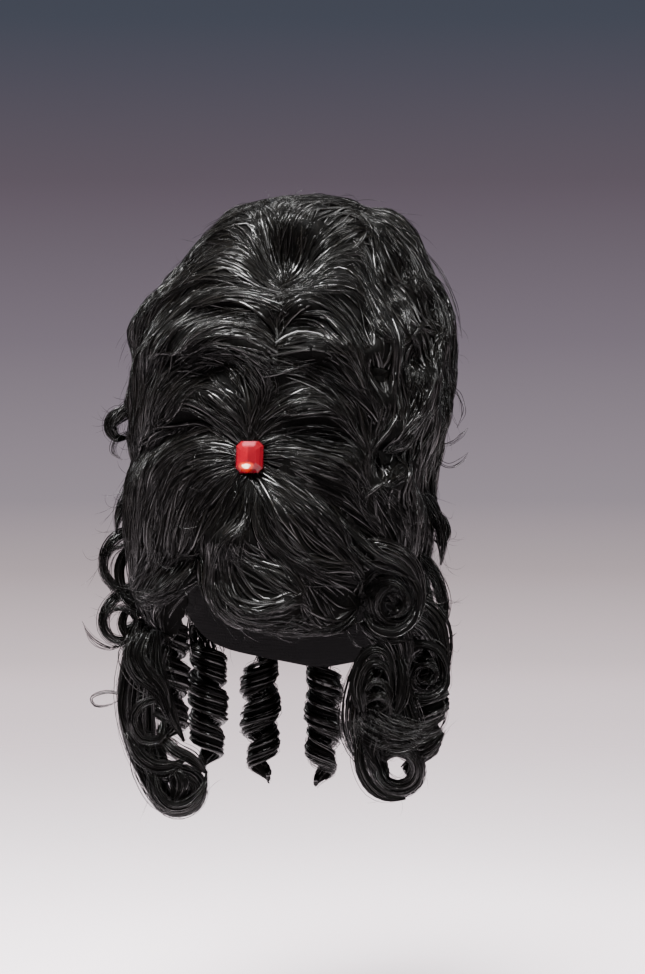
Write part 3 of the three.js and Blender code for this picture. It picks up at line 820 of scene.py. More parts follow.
liePoints = np.concatenate(lieLines)
lieWays = np.concatenate([directions(line) for line in lieLines])

# Lie of the hair where the picture doesn't show it: it sways as it falls, and goes back over the top
sideLie = {
    "sway": 0.75,
    "pitch": 74 * mm,
    "stagger": 4.2,
    "overTop": 0.8,
    "topFrom": 0.11,
    "topTo": 0.16,
    "seenFrom": 0.02,
    "seenTo": 0.3,
    "blend": 30,
}


# Which way the hair lies at points of the body
def hairWay(points, facing):
    away = toPixels(points)[:, None] - liePoints[None]
    weight = 1 / ((away ** 2).sum(-1) + sideLie["blend"]) ** 2
    inPicture = unit(weight @ lieWays)
    front = inPicture[:, :1] * pictureRight - inPicture[:, 1:] * pictureUp
    bearing = np.arctan2(points[:, 0], -points[:, 1])
    turn = 2 * math.pi * points[:, 2] / sideLie["pitch"] + sideLie["stagger"] * bearing
    sway = sideLie["sway"] * np.cos(turn)
    level = np.stack((np.cos(bearing), np.sin(bearing), np.zeros(len(bearing))), -1)
    top = smoothStep(points[:, 2], sideLie["topFrom"], sideLie["topTo"])
    over = np.array((0, sideLie["overTop"], 0)) * top[:, None]
    side = level * sway[:, None] + np.array((0, 0, -1)) + over
    seen = smoothStep(facing @ pictureBack, sideLie["seenFrom"], sideLie["seenTo"])[:, None]
    way = seen * front + (1 - seen) * unit(side)
    return unit(way - facing * (way * facing).sum(-1, keepdims=True))


combing = {"sharpest": 0.45, "nearRoot": 0.15, "keepsWay": 0.35, "waveFrom": 0.3, "waveTo": 0.6}


# Paths over the body, both ways from their middles, winding a little, those with a sharp bend left out
def combPaths(middles, steps, stride, wander):
    first, firstFacing = onBody(middles)
    phase = dice.uniform(0, 2 * math.pi, len(middles))
    wave = dice.uniform(combing["waveFrom"], combing["waveTo"], len(middles))
    runs = {}
    for sign in (-1, 1):
        places, facing, before = first, firstFacing, None
        run, outs, pace = [], [], np.ones((len(middles), 1))
        for i in range(1, steps // 2 + 1):
            way = hairWay(places, facing) * sign
            if before is not None:
                back = (way * before).sum(-1, keepdims=True) < 0
                pace = np.where(back, combing["nearRoot"], pace)
                turned = np.where(back, before, way) * (1 - combing["keepsWay"])
                way = unit(turned + before * combing["keepsWay"])
            before = way
            turn = (wander * np.sin(phase + sign * wave * i))[:, None]
            bent = way * np.cos(turn) + np.cross(facing, way) * np.sin(turn)
            places, facing = onBody(places + bent * stride * pace)
            run.append(places)
            outs.append(facing)
        runs[sign] = (run, outs)
    paths = np.stack(runs[-1][0][::-1] + [first] + runs[1][0], 1)
    outward = np.stack(runs[-1][1][::-1] + [firstFacing] + runs[1][1], 1)
    softened = outward.copy()
    softened[:, 1:-1] += outward[:, :-2] + outward[:, 2:]
    smoothed = paths.copy()
    smoothed[:, 1:-1] = 0.5 * paths[:, 1:-1] + 0.25 * (paths[:, :-2] + paths[:, 2:])
    legs = unit(np.diff(paths, axis=1))
    gentle = (legs[:, 1:] * legs[:, :-1]).sum(-1).min(1) > combing["sharpest"]
    return smoothed[gentle], unit(softened)[gentle]


# Random places over the outside of the body
def scatterOnBody(count):
    mesh = hiveBody.data
    mesh.calc_loop_triangles()
    corners = readVectors(mesh.loop_triangles, "vertices", np.int32)
    points = readVectors(mesh.vertices, "co", np.float32)
    a, b, c = np.moveaxis(points[corners], 1, 0)
    cross = np.cross(b - a, c - a)
    middle = (a + b + c) / 3
    outside = (unit(cross) * unit(middle - hollowCentre)).sum(-1) > outsideFrom
    area = np.linalg.norm(cross, axis=-1) * outside
    chosen = dice.choice(len(area), count, p=area / area.sum())
    u, v = dice.uniform(size=(2, count, 1))
    flip = u + v > 1
    u, v = np.where(flip, 1 - u, u), np.where(flip, 1 - v, v)
    return a[chosen] + u * (b[chosen] - a[chosen]) + v * (c[chosen] - a[chosen]), unit(cross[chosen])


# Evenly spread places: each is the farthest of a few drawn ones from those already taken
def spreadOut(pool, count, tries=8):
    taken = pool[:1]
    for i in range(1, count):
        drawn = pool[i * tries: (i + 1) * tries]
        gap = ((drawn[:, None] - taken[None]) ** 2).sum(-1).min(1)
        taken = np.concatenate((taken, drawn[[np.argmax(gap)]]))
    return taken


spreading = {"drawnEach": 30, "seenFrom": 0.1}


# Middles of locks: some on the side that the camera sees, the rest on the others
def chooseMiddles(front, back):
    pool, facing = scatterOnBody(spreading["drawnEach"] * (front + back))
    seen = facing @ pictureBack > spreading["seenFrom"]
    return np.concatenate((spreadOut(pool[seen], front), spreadOut(pool[~seen], back)))


# Winding of the locks in radians, with the edge of the column in pixels
winding = {"least": 0.06, "most": 0.26, "inColumn": 0.16, "columnFrom": 362, "columnTo": 378}


# How much a lock winds: most in the curly column at the right of the picture
def windingAt(middles):
    column = smoothStep(toPixels(middles)[:, 0], winding["columnFrom"], winding["columnTo"])
    return dice.uniform(winding["least"], winding["most"], len(middles)) + winding["inColumn"] * column


# Which places lie in the curly column, seen from the front
def inColumn(places):
    spots = toPixels(places)
    across = (spots[:, 0] > columnCurls["clumpsFrom"]) & (spots[:, 0] < columnCurls["clumpsTo"])
    return across & (spots[:, 1] > columnCurls["top"]) & (spots[:, 1] < columnCurls["bottom"])


# How far the ends of a path go under, as a share, over the given parts of its length
def tuckedEnds(share, firstPart, lastPart):
    return smoothStep(-share, -firstPart, 0) + smoothStep(share, 1 - lastPart, 1)


# Numbers and ranges of the pieces that hold so many tubes each
def inPieces(count, size):
    return [(i + 1, slice(begin, begin + size)) for i, begin in enumerate(range(0, count, size))]


lockCombing = {
    "front": 1250,
    "back": 420,
    "steps": 11,
    "stride": 7.5 * mm,
    "narrow": 0.9 * mm,
    "broad": 2.0 * mm,
    "backBreadth": 2.4,
    "flat": 0.4,
    "swell": (0.25, 0.6),
    "lift": 1.2 * mm,
    "lifts": (-0.2, 1),
    "liftPower": 0.7,
    "tuck": 0.9 * mm,
    "tuckParts": (0.15, 0.15),
    "sides": 4,
    "variants": 16,
    "locksInPiece": 1000,
}


# Flat locks combed over the body, pointed at both ends
def combLocks():
    settings = lockCombing
    middles = chooseMiddles(settings["front"], settings["back"])
    steps = settings["steps"]
    paths, outward = combPaths(middles, steps, settings["stride"], windingAt(middles))
    count = len(paths)
    ahead = directions(paths)
    across = unit(np.cross(outward, ahead))
    deep = np.cross(ahead, across)
    share = np.linspace(0, 1, steps)
    lifted = dice.uniform(*settings["lifts"], (count, 1)) * settings["lift"]
    lifted = lifted * arch(share, 0, settings["liftPower"])
    lifted = lifted - settings["tuck"] * tuckedEnds(share, *settings["tuckParts"])
    paths = paths + outward * lifted[..., None]
    swell = arch(share, *settings["swell"])
    isSeen = outward[:, steps // 2] @ pictureBack > spreading["seenFrom"]
    breadth = np.where(isSeen, 1, settings["backBreadth"])[:, None]
    half = dice.uniform(settings["narrow"], settings["broad"], (count, 1)) * swell * breadth
    start = dice.integers(0, settings["variants"], count) / settings["variants"]
    made = []
    for number, part in inPieces(count, settings["locksInPiece"]):
        sizes = (half[part], half[part] * settings["flat"], settings["sides"])
        shape = tubes(paths[part], across[part], deep[part], *sizes, start[part], 1 / settings["variants"])
        made.append(meshFromTubes(f"combed_locks_{number}", [shape], blackHair))
    return made


strandCombing = {
    "frontClumps": 400,
    "backClumps": 110,
    "inClump": 11,
    "steps": 11,
    "stride": 7.4 * mm,
    "spread": 2.2 * mm,
    "opening": (0.35, 0.7),
    "waver": 0.6 * mm,
    "lift": 2.4 * mm,
    "lifts": (0.2, 1),
    "fewHigh": 1.5,
    "liftPower": 0.6,
    "over": 0.4 * mm,
    "tuck": 1.2 * mm,
    "tuckParts": (0.12, 0.1),
    "ripple": 0.4 * mm,
    "rippleRates": (4, 14),
    "rippleTurn": 1.7,
    "thin": 0.1 * mm,
    "thick": 0.22 * mm,
    "strandsInPiece": 3000,
}


# Loose strands over the locks, in clumps that part and close again
def combStrands():
    settings = strandCombing
    middles = chooseMiddles(settings["frontClumps"], settings["backClumps"])
    isFront = np.arange(len(middles)) < settings["frontClumps"]
    middles = middles[~(inColumn(middles) & isFront)]
    steps, each = settings["steps"], settings["inClump"]
    paths, outward = combPaths(middles, steps, settings["stride"], windingAt(middles))
    drawn = (len(paths), each, 1)
    across = unit(np.cross(outward, directions(paths)))
    share = np.linspace(0, 1, steps)
    aside = dice.normal(0, settings["spread"], drawn) * arch(share, *settings["opening"])
    ripple = drawnRipples(share, settings["rippleRates"], drawn)
    aside = aside + settings["waver"] * np.sin(ripple)
    lifted = dice.uniform(*settings["lifts"], drawn) ** settings["fewHigh"] * settings["lift"]
    lifted = lifted * arch(share, 0, settings["liftPower"])
    lifted = lifted + settings["over"] - settings["tuck"] * tuckedEnds(share, *settings["tuckParts"])
    upDown = np.sin(settings["rippleTurn"] * ripple)
    lifted = lifted + settings["ripple"] * dice.uniform(0, 1, drawn) * upDown
    strands = paths[:, None] + across[:, None] * aside[..., None] + outward[:, None] * lifted[..., None]
    strands = strands.reshape(-1, steps, 3)
    radius = dice.uniform(settings["thin"], settings["thick"], len(strands))
    shade = dice.uniform(0, 1, len(strands))
    made = []
    for number, part in inPieces(len(strands), settings["strandsInPiece"]):
        shape = strandTubes(strands[part], radius[part], shade[part])
        made.append(meshFromTubes(f"loose_strands_{number}", [shape], blackHair))
    return made


flyaway = {
    "drawn": 6000,
    "edgeOn": 0.75,
    "count": 840,
    "steps": 9,
    "stride": 3.2 * mm,
    "paces": (0.8, 1.2),
    "root": 1 * mm,
    "away": 0.34,
    "aways": (0.3, 1.6),
    "settles": 0.16,
    "sideways": 0.5,
    "curl": 0.48,
    "thin": 0.08 * mm,
    "thick": 0.14 * mm,
}


# Fine hairs that stand off the body
def makeFlyaways():
    pool, facing = scatterOnBody(flyaway["drawn"])
    middles = pool[np.abs(facing @ pictureBack) < flyaway["edgeOn"]][: flyaway["count"]]
    places, facing = onBody(middles)
    count = len(places)
    run = [places - facing * flyaway["root"]]
    way = hairWay(places, facing)
    sideways = np.cross(facing, way) * dice.normal(0, flyaway["sideways"], (count, 1))
    away = dice.uniform(*flyaway["aways"], (count, 1)) * flyaway["away"]
    curl = dice.normal(0, flyaway["curl"], (count, 1))
    for i in range(1, flyaway["steps"]):
        rising = facing * away * (1 - flyaway["settles"] * i)
        heading = unit(way + rising + sideways * np.cos(curl * i))
        run.append(run[-1] + heading * flyaway["stride"] * dice.uniform(*flyaway["paces"], (count, 1)))
    return meshFromTubes("flyaway_strands", [drawnStrands(np.stack(run, 1), flyaway)], blackHair)


fineCurl = {
    "drawn": 4000,
    "facing": 0.3,
    "count": 360,
    "steps": 11,
    "stride": 2.3 * mm,
    "turn": 0.7,
    "bend": 0.26,
    "lift": 3.2 * mm,
    "lifts": (0.2, 1),
    "rootLift": 0.4,
    "archPart": (0.1, 0.9),
    "thin": 0.07 * mm,
    "thick": 0.13 * mm,
}


# Fine single hairs that curl over the front
def makeFineCurls():
    pool, facing = scatterOnBody(fineCurl["drawn"])
    places, facing = onBody(pool[facing @ pictureBack > fineCurl["facing"]][: fineCurl["count"]])
    count = len(places)
    way = hairWay(places, facing)
    aside = np.cross(facing, way)
    turn = dice.normal(0, fineCurl["turn"], (count, 1))
    bend = dice.normal(0, fineCurl["bend"], (count, 1))
    run = [places + facing * fineCurl["rootLift"] * fineCurl["lift"]]
    for i in range(1, fineCurl["steps"]):
        heading = way * np.cos(turn + bend * i) + aside * np.sin(turn + bend * i)
        run.append(run[-1] + heading * fineCurl["stride"])
    over = arch(np.linspace(*fineCurl["archPart"], fineCurl["steps"]), 0, 1)[None, :, None]
    lifts = fineCurl["lift"] * dice.uniform(*fineCurl["lifts"], (count, 1, 1))
    raised = facing[:, None] * over * lifts
    return meshFromTubes("fine_curls", [drawnStrands(np.stack(run, 1) + raised, fineCurl)], blackHair)


combedHair = [*combLocks(), *combStrands(), makeFlyaways(), makeFineCurls()]
print("combed hair,", len(combedHair), "pieces")


# A place round the hollow: angle from the front in degrees, radius and height in mm
def around(angle, radius, z):
    a = np.radians(angle)
    return np.stack(np.broadcast_arrays(radius * np.sin(a), -radius * np.cos(a), z), -1) * mm


# Curls: the tables of the solids, angles in degrees and lengths in mm, with the ringlets a little broader
coils = {
    "coil_left_temple": {
        "root": (42, 104, -54), "over": (63, 106, -54), "ring": (58, 96, -86), "faces": 26, "tilt": 0,
        "radius": 17, "turns": 1.3, "inward": 0.25, "width": 19, "lead": 22, "thick": 11.5, "hand": 1,
    },
    "loop_left_back": {
        "root": (94, 86, -60), "over": (98, 99, -62), "ring": (92, 90, -95), "faces": 15, "tilt": 0,
        "radius": 15.5, "turns": 0.95, "inward": 0.9, "width": 12, "lead": 10, "thick": 7, "hand": 1,
    },
    "coil_left_outer": {
        "root": (84, 84, -94), "over": (90, 104, -98), "ring": (84, 96, -134), "faces": 14, "tilt": 8,
        "radius": 11.5, "turns": 1.3, "inward": 0.26, "width": 22, "lead": 28, "thick": 7.8, "hand": 1,
    },
    "coil_left_cheek": {
        "root": (57, 88, -100), "over": (66, 94, -112), "ring": (61, 80, -147), "faces": 16, "tilt": 26,
        "radius": 10.2, "turns": 1.25, "inward": 0.28, "width": 30, "lead": 30, "thick": 6.9, "hand": 1,
    },
    "ring_left_low": {
        "root": (66, 80, -124), "over": (50, 62, -168), "ring": (69, 87, -195), "faces": 15, "tilt": 0,
        "radius": 12.8, "turns": 0.92, "inward": 0.95, "width": 19, "lead": 36, "thick": 11.5, "hand": -1,
    },
    "loop_right_upper": {
        "root": (-84, 95, -42), "over": (-75, 121, -42), "ring": (-75, 106, -66), "faces": 12, "tilt": 0,
        "radius": 16, "turns": 0.95, "inward": 0.85, "width": 11, "lead": 9, "thick": 6, "hand": -1,
    },
    "loop_right_lower": {
        "root": (-88, 93, -78), "over": (-77, 122, -84), "ring": (-75, 110, -104), "faces": 12, "tilt": 0,
        "radius": 12.5, "turns": 0.95, "inward": 0.8, "width": 11, "lead": 9, "thick": 6, "hand": -1,
    },
    "ring_right_low": {
        "root": (-57, 91, -108), "over": (-74, 112, -160), "ring": (-59, 74.5, -210), "faces": 18, "tilt": 0,
        "radius": 13.5, "turns": 0.92, "inward": 0.8, "width": 27, "lead": 33, "thick": 15, "hand": -1,
    },
}
coilShape = {"middle": 0.35, "advance": 0.9, "taper": 0.55, "leadShare": 0.35, "points": 90}

flicks = {
    "flick_left": {
        "root": (66, 79, -124), "bend": (71, 93, -206), "tip": (73, 117, -168),
        "width": 17, "thick": 33,
    },
    "tuft_left": {
        "root": (104, 87, -16), "bend": (105, 107, -40), "tip": (105, 102, -66),
        "width": 22, "thick": 12,
    },
    "tuft_right": {
        "root": (-78, 91, -4), "bend": (-76, 113, -22), "tip": (-76, 113, -44),
        "width": 22, "thick": 12,
    },
    "tuft_right_upper": {
        "root": (-76, 91, 44), "bend": (-75, 110, 38), "tip": (-75, 116, 24),
        "width": 24, "thick": 13,
    },
}
flickShape = {"taper": 0.86, "points": 40}

ringlets = {
    "ringlet_right_side": {"angle": -82, "radius": 96, "top": -92, "drop": 80, "lean": 2, "hand": -1},
    "ringlet_right_back": {"angle": -108, "radius": 95, "top": -104, "drop": 92, "lean": -2, "hand": 1},
    "ringlet_left_back": {"angle": 108, "radius": 95, "top": -104, "drop": 92, "lean": -2, "hand": -1},
    "ringlet_nape_1": {"angle": 132, "radius": 99, "top": -124, "drop": 86, "lean": -4, "hand": 1},
    "ringlet_nape_2": {"angle": 156, "radius": 107, "top": -134, "drop": 86, "lean": -4, "hand": -1},
    "ringlet_nape_3": {"angle": 180, "radius": 110, "top": -138, "drop": 86, "lean": -4, "hand": 1},
    "ringlet_nape_4": {"angle": 204, "radius": 107, "top": -134, "drop": 86, "lean": -4, "hand": -1},
    "ringlet_nape_5": {"angle": 228, "radius": 99, "top": -124, "drop": 86, "lean": -4, "hand": 1},
}
helix = {
    "coil": 9.5,
    "pitch": 26,
    "width": 22,
    "thick": 9,
    "ramp": 0.16,
    "closeFrom": 0.6,
    "tip": 0.55,
    "points": 110,
}


def bezier(start, bend, end, share):
    share = share[:, None]
    return start * (1 - share) ** 2 + bend * 2 * share * (1 - share) + end * share ** 2


# A lock's path, with the ways its section is wide and deep and its half sizes there
def lockPath(centre, wideWay, width, thick):
    ahead = directions(centre)
    wide = unit(wideWay - ahead * (ahead @ wideWay)[:, None])
    sizes = {"width": width / 2 * mm, "thick": thick / 2 * mm}
    return {"centre": centre, "wide": wide, "deep": np.cross(ahead, wide), **sizes}


def coilPath(row):
    tilt = math.radians(row["tilt"])
    axis = around(row["faces"], math.cos(tilt), -math.sin(tilt)) / mm
    across = around(row["faces"] + 90, 1, 0) / mm
    up = np.cross(axis, across)
    leadCount = int(coilShape["points"] * coilShape["leadShare"])
    share = np.linspace(0, 1, coilShape["points"] - leadCount)
    turn = (share * row["turns"] * 2 * math.pi)[:, None]
    radius = (row["radius"] * (1 + (row["inward"] - 1) * share))[:, None] * mm
    shift = ((share - coilShape["middle"]) * row["width"] * coilShape["advance"])[:, None] * mm
    spoke = across * row["hand"] * radius * np.cos(turn) - up * radius * np.sin(turn)
    ring = around(*row["ring"]) + spoke + axis * shift
    early = np.arange(leadCount) / leadCount
    lead = bezier(around(*row["root"]), around(*row["over"]), ring[0], early)
    taper = 1 - coilShape["taper"] * share ** 3
    width = np.concatenate((np.full(leadCount, row["width"]), row["width"] * taper))
    leadThick = row["lead"] + (row["thick"] - row["lead"]) * early ** 2
    thick = np.concatenate((leadThick, row["thick"] * taper))
    return lockPath(np.concatenate((lead, ring)), axis, width, thick)


def flickPath(row):
    share = np.linspace(0, 1, flickShape["points"])
    taper = 1 - flickShape["taper"] * share ** 2
    centre = bezier(around(*row["root"]), around(*row["bend"]), around(*row["tip"]), share)
    across = around(row["bend"][0] + 90, 1, 0) / mm
    return lockPath(centre, across, row["width"] * taper, row["thick"] * taper)


def ringletPath(row):
    share = np.linspace(0, 1, helix["points"])
    turns = row["drop"] / helix["pitch"]
    turn = row["hand"] * share * turns * 2 * math.pi + math.radians(row["angle"])
    closing = 1 + (helix["tip"] - 1) * smoothStep(share, helix["closeFrom"], 1)
    taper = (helix["tip"] + (1 - helix["tip"]) * smoothStep(share, 0, helix["ramp"])) * closing
    axis = around(row["angle"], row["radius"] + row["lean"] * share, row["top"] - row["drop"] * share)
    spoke = np.stack((np.sin(turn), -np.cos(turn), np.zeros(len(turn))), -1)
    centre = axis + spoke * (helix["coil"] * closing)[:, None] * mm
    return lockPath(centre, np.array((0.0, 0.0, -1.0)), helix["width"] * taper, helix["thick"] * taper)


# Values of a lock's path at shares of its length
def alongPath(path, share):
    grid = np.linspace(0, 1, len(path["centre"]))
    found = {}
    for key, values in path.items():
        columns = values.reshape(len(grid), -1).T
        found[key] = np.stack([np.interp(share, grid, column) for column in columns], -1)
    return found


# From a lock's centre to the rim of its section, at a turn round it
def toRim(at, turn):
    wide = at["wide"] * at["width"] * np.cos(turn)[..., None]
    return wide + at["deep"] * at["thick"] * np.sin(turn)[..., None]


# Shares of a lock's length that strands run over, each a little shorter and later than the lock
def drawnShares(count, steps, shortest, latest):
    length = dice.uniform(shortest, 1, (count, 1))
    return np.linspace(0, 1, steps)[None] * length + dice.uniform(0, latest, (count, 1))


lockSettings = {
    "variants": 16,
    "bunchSides": 5,
    "bunchFlat": 0.5,
    "bunchShares": (0.9, 0.03),
    "bunchScatter": 0.3,
    "bunchTwist": 0.5,
    "bunchReach": (0.66, 0.9),
    "bunchArch": (0.3, 0.5),
    "bunchArchPart": (0.08, 0.96),
    "openBunchReach": (0.2, 0.9),
    "openBunch": 0.3,
    "strandShares": (0.86, 0.05),
    "strandTwist": 0.6,
    "strandReach": (0.8, 1.0),
    "openStrandReach": (0.15, 1.0),
    "loose": 0.3,
    "looseReach": (0.05, 0.35),
    "waver": 0.06,
    "waverRates": (8, 30),
    "thin": 0.13 * mm,
    "thick": 0.3 * mm,
    "core": 0.66,
    "coreSides": 10,
    "coreStart": 0.3,
    "coreFull": 0.2,
}
coilFill = {"bunches": 24, "strands": 70, "steps": 27, "breadth": (0.25, 0.7)}
flickFill = {"bunches": 22, "strands": 80, "steps": 14, "breadth": (0.25, 0.7)}
ringletFill = {"bunches": 13, "strands": 26, "steps": 38, "breadth": (0.5, 0.95)}
openLocks = (
    "loop_right_upper", "loop_right_lower", "loop_left_back",
    "tuft_left", "tuft_right", "tuft_right_upper",
)


# Broad bunches round a lock
def lockBunches(path, fill, isOpen):
    settings = lockSettings
    count, steps = fill["bunches"], fill["steps"]
    share = drawnShares(count, steps, *settings["bunchShares"])
    at = alongPath(path, np.clip(share, 0, 1))
    turn = np.arange(count)[:, None] * 2 * math.pi / count
    turn = turn + dice.normal(0, settings["bunchScatter"], (count, 1))
    turn = turn + dice.normal(0, settings["bunchTwist"], (count, 1)) * share
    reaches = settings["openBunchReach" if isOpen else "bunchReach"]
    reach = dice.uniform(*reaches, (count, 1))[..., None]
    radial = toRim(at, turn)
    middle = at["centre"] + radial * reach
    ahead = directions(middle)
    wide = unit(np.cross(unit(radial), ahead))
    girth = math.pi * (at["width"] + at["thick"])[..., 0] / count
    pointed = arch(np.linspace(*settings["bunchArchPart"], steps), *settings["bunchArch"])
    half = girth * dice.uniform(*fill["breadth"], (count, 1)) * pointed
    half = half * (settings["openBunch"] if isOpen else 1)
    start = dice.integers(0, settings["variants"], count) / settings["variants"]
    sizes = (half, half * settings["bunchFlat"], settings["bunchSides"])
    return tubes(middle, wide, np.cross(ahead, wide), *sizes, start, 1 / settings["variants"])


# Strands round a lock, some of them loose
def lockStrands(path, fill, isOpen):
    settings = lockSettings
    count = fill["strands"]
    share = np.clip(drawnShares(count, fill["steps"], *settings["strandShares"]), 0, 1)
    at = alongPath(path, share)
    turn = dice.uniform(0, 2 * math.pi, (count, 1))
    turn = turn + dice.normal(0, settings["strandTwist"], (count, 1)) * share
    isLoose = dice.uniform(size=(count, 1)) < settings["loose"]
    loose = isLoose * dice.uniform(*settings["looseReach"], (count, 1))
    reaches = settings["openStrandReach" if isOpen else "strandReach"]
    reach = dice.uniform(*reaches, (count, 1)) + loose * arch(share, 0, 1)
    reach = reach + settings["waver"] * np.sin(drawnRipples(share, settings["waverRates"], (count, 1)))
    return drawnStrands(at["centre"] + toRim(at, turn) * reach[..., None], settings)


# The close core of a lock
def lockCore(path):
    settings = lockSettings
    at = {key: values[None, ::2] for key, values in path.items()}
    share = np.linspace(0, 1, at["width"].shape[1])
    rise = settings["coreStart"] + (1 - settings["coreStart"]) * smoothStep(share, 0, settings["coreFull"])
    closing = settings["core"] * rise
    sizes = (at["width"] * closing, at["thick"] * closing, settings["coreSides"])
    return tubes(at["centre"], at["wide"], at["deep"], *sizes, np.zeros(1), 1 / settings["variants"])


# Hair of one lock: bunches and strands that run along it, round a core unless it is open
def lockHair(name, path, fill):
    isOpen = name in openLocks
    sets = [lockBunches(path, fill, isOpen), lockStrands(path, fill, isOpen)]
    return meshFromTubes(name + "_hair", sets, blackHair, None if isOpen else lockCore(path))


frizzSettings = {
    "count": 26,
    "steps": 8,
    "stride": 2.6 * mm,
    "paces": (0.7, 1.3),
    "along": (0.1, 0.98),
    "root": 0.8,
    "leans": (0.2, 0.9),
    "curl": 0.28,
    "thin": 0.07 * mm,
    "thick": 0.13 * mm,
}


# Fine hairs that leave a lock and curl
def frizzAround(path):
    settings = frizzSettings
    count = settings["count"]
    at = alongPath(path, dice.uniform(*settings["along"], count))
    ahead = np.cross(at["wide"], at["deep"])
    outward = toRim(at, dice.uniform(0, 2 * math.pi, count))
    run = [at["centre"] + outward * settings["root"]]
    outward = unit(outward)
    aside = np.cross(ahead, outward)
    lean = dice.uniform(*settings["leans"], (count, 1))
    curl = dice.normal(0, settings["curl"], (count, 1))
    for i in range(1, settings["steps"]):
        heading = ahead * np.cos(curl * i) + aside * np.sin(curl * i) + outward * lean
        pace = settings["stride"] * dice.uniform(*settings["paces"], (count, 1))
        run.append(run[-1] + unit(heading) * pace)
    return drawnStrands(np.stack(run, 1), settings)


rootSettings = {
    "count": 64,
    "steps": 7,
    "aside": 7 * mm,
    "near": 8 * mm,
    "far": 30 * mm,
    "over": 1.6 * mm,
    "bulge": 3 * mm,
    "bulgeAside": 0.25,
    "joins": (0.02, 0.18),
    "joinWide": 0.8,
    "joinDeep": 0.9,
    "girth": 3.2,
}


# Hairs that run down from the body into the top of a ringlet
def ringletRoots(path):
    settings = rootSettings
    count = settings["count"]
    top = path["centre"][0]
    up = np.array((0, 0, 1.0))
    aside = unit(np.cross(up, top * np.array((1, 1, 0))))
    upward = dice.uniform(settings["near"], settings["far"], (count, 1)) * up
    spread = dice.normal(0, 1, (count, 1)) * settings["aside"] * aside
    roots, facing = onBody(top + upward + spread)
    roots = roots + facing * dice.uniform(0, settings["over"], (count, 1))
    at = alongPath(path, dice.uniform(*settings["joins"], count))
    turn = dice.uniform(0, 2 * math.pi, (count, 1))
    wide = at["wide"] * at["width"] * np.cos(turn) * settings["joinWide"]
    deep = at["deep"] * at["thick"] * np.sin(turn) * settings["joinDeep"]
    ends = at["centre"] + wide + deep
    bends = 0.5 * (roots + ends) + settings["bulgeAside"] * spread + facing * settings["bulge"]
    share = np.linspace(0, 1, settings["steps"])
    paths = np.stack([bezier(roots[i], bends[i], ends[i], share) for i in range(count)])
    return drawnStrands(paths, lockSettings, settings["girth"])


lockPieces, frizz = {}, []
for name, row in coils.items():
    path = coilPath(row)
    frizz.append(frizzAround(path))
    lockPieces[name] = lockHair(name, path, coilFill)
for name, row in flicks.items():
    path = flickPath(row)
    frizz.append(frizzAround(path))
    lockPieces[name] = lockHair(name, path, flickFill)
for name, row in ringlets.items():
    path = ringletPath(row)
    lockPieces[name] = lockHair(name, path, ringletFill)
    frizz.append(ringletRoots(path))
lockFrizz = meshFromTubes("lock_frizz", frizz, blackHair)
print("locks,", len(lockPieces), "pieces")

# Bunches laid on the body along lines of the picture: strands, spread and lift in mm, line in pixels
laidBunches = {
    "valleyInner": (14, 2.0, 2.4, ((365, 240), (372, 268), (366, 296), (372, 322), (367, 346))),
    "topInner": (16, 2.6, 2.6, ((371, 216), (380, 234), (390, 248), (404, 262))),
    "topEdge": (16, 2.6, 2.4, ((375, 206), (394, 212), (412, 226), (428, 248), (438, 272))),
    "bowlUpper": (30, 3.4, 4.2, ((373, 268), (382, 285), (394, 298), (403, 312), (408, 330))),
    "bowlMiddle": (34, 3.2, 4.6, ((376, 290), (384, 308), (395, 322), (411, 332), (428, 324))),
    "bowlBottom": (30, 3.0, 3.8, ((373, 318), (383, 333), (397, 341), (415, 338), (432, 322))),
    "bowlRight": (24, 3.4, 3.2, ((404, 280), (420, 288), (434, 304), (442, 326))),
    "outerWave": (20, 3.0, 3.0, ((446, 326), (438, 350), (445, 374), (438, 398), (444, 420))),
    "middleWave": (18, 2.6, 3.2, ((418, 344), (412, 362), (422, 380), (418, 400))),
    "arcUpper": (30, 2.8, 5.0, ((424, 388), (419, 408), (405, 423), (389, 431), (374, 432))),
    "arcMiddle": (30, 2.6, 5.0, ((432, 402), (425, 420), (409, 437), (393, 448), (377, 452))),
    "arcLower": (20, 2.4, 3.6, ((414, 446), (408, 464), (396, 478), (380, 487))),
    "upperKnot": (24, 2.6, 3.6, ((378, 232), (390, 246), (402, 262), (404, 280), (394, 290))),
    "upperKnotOuter": (20, 2.8, 3.0, ((398, 226), (414, 240), (424, 260), (422, 280), (410, 292))),
    "holeOver": (22, 2.6, 4.4, ((372, 352), (386, 354), (400, 362), (408, 378), (406, 396))),
    "holeRight": (20, 2.4, 4.0, ((402, 346), (412, 360), (414, 380), (408, 400), (396, 414))),
    "tail": (24, 3.2, 3.2, ((380, 488), (396, 508), (410, 526), (422, 548))),
    "tailInner": (22, 3.2, 3.2, ((366, 486), (384, 508), (402, 532), (414, 552))),
    "curlySingle": (4, 2.0, 4.0, ((216, 362), (212, 374), (218, 388), (228, 396))),
    "curlyPair": (5, 2.6, 4.0, ((236, 366), (230, 380), (238, 394), (232, 410))),
    "curlyCross": (4, 2.6, 4.0, ((226, 372), (238, 366), (248, 374), (246, 390))),
}

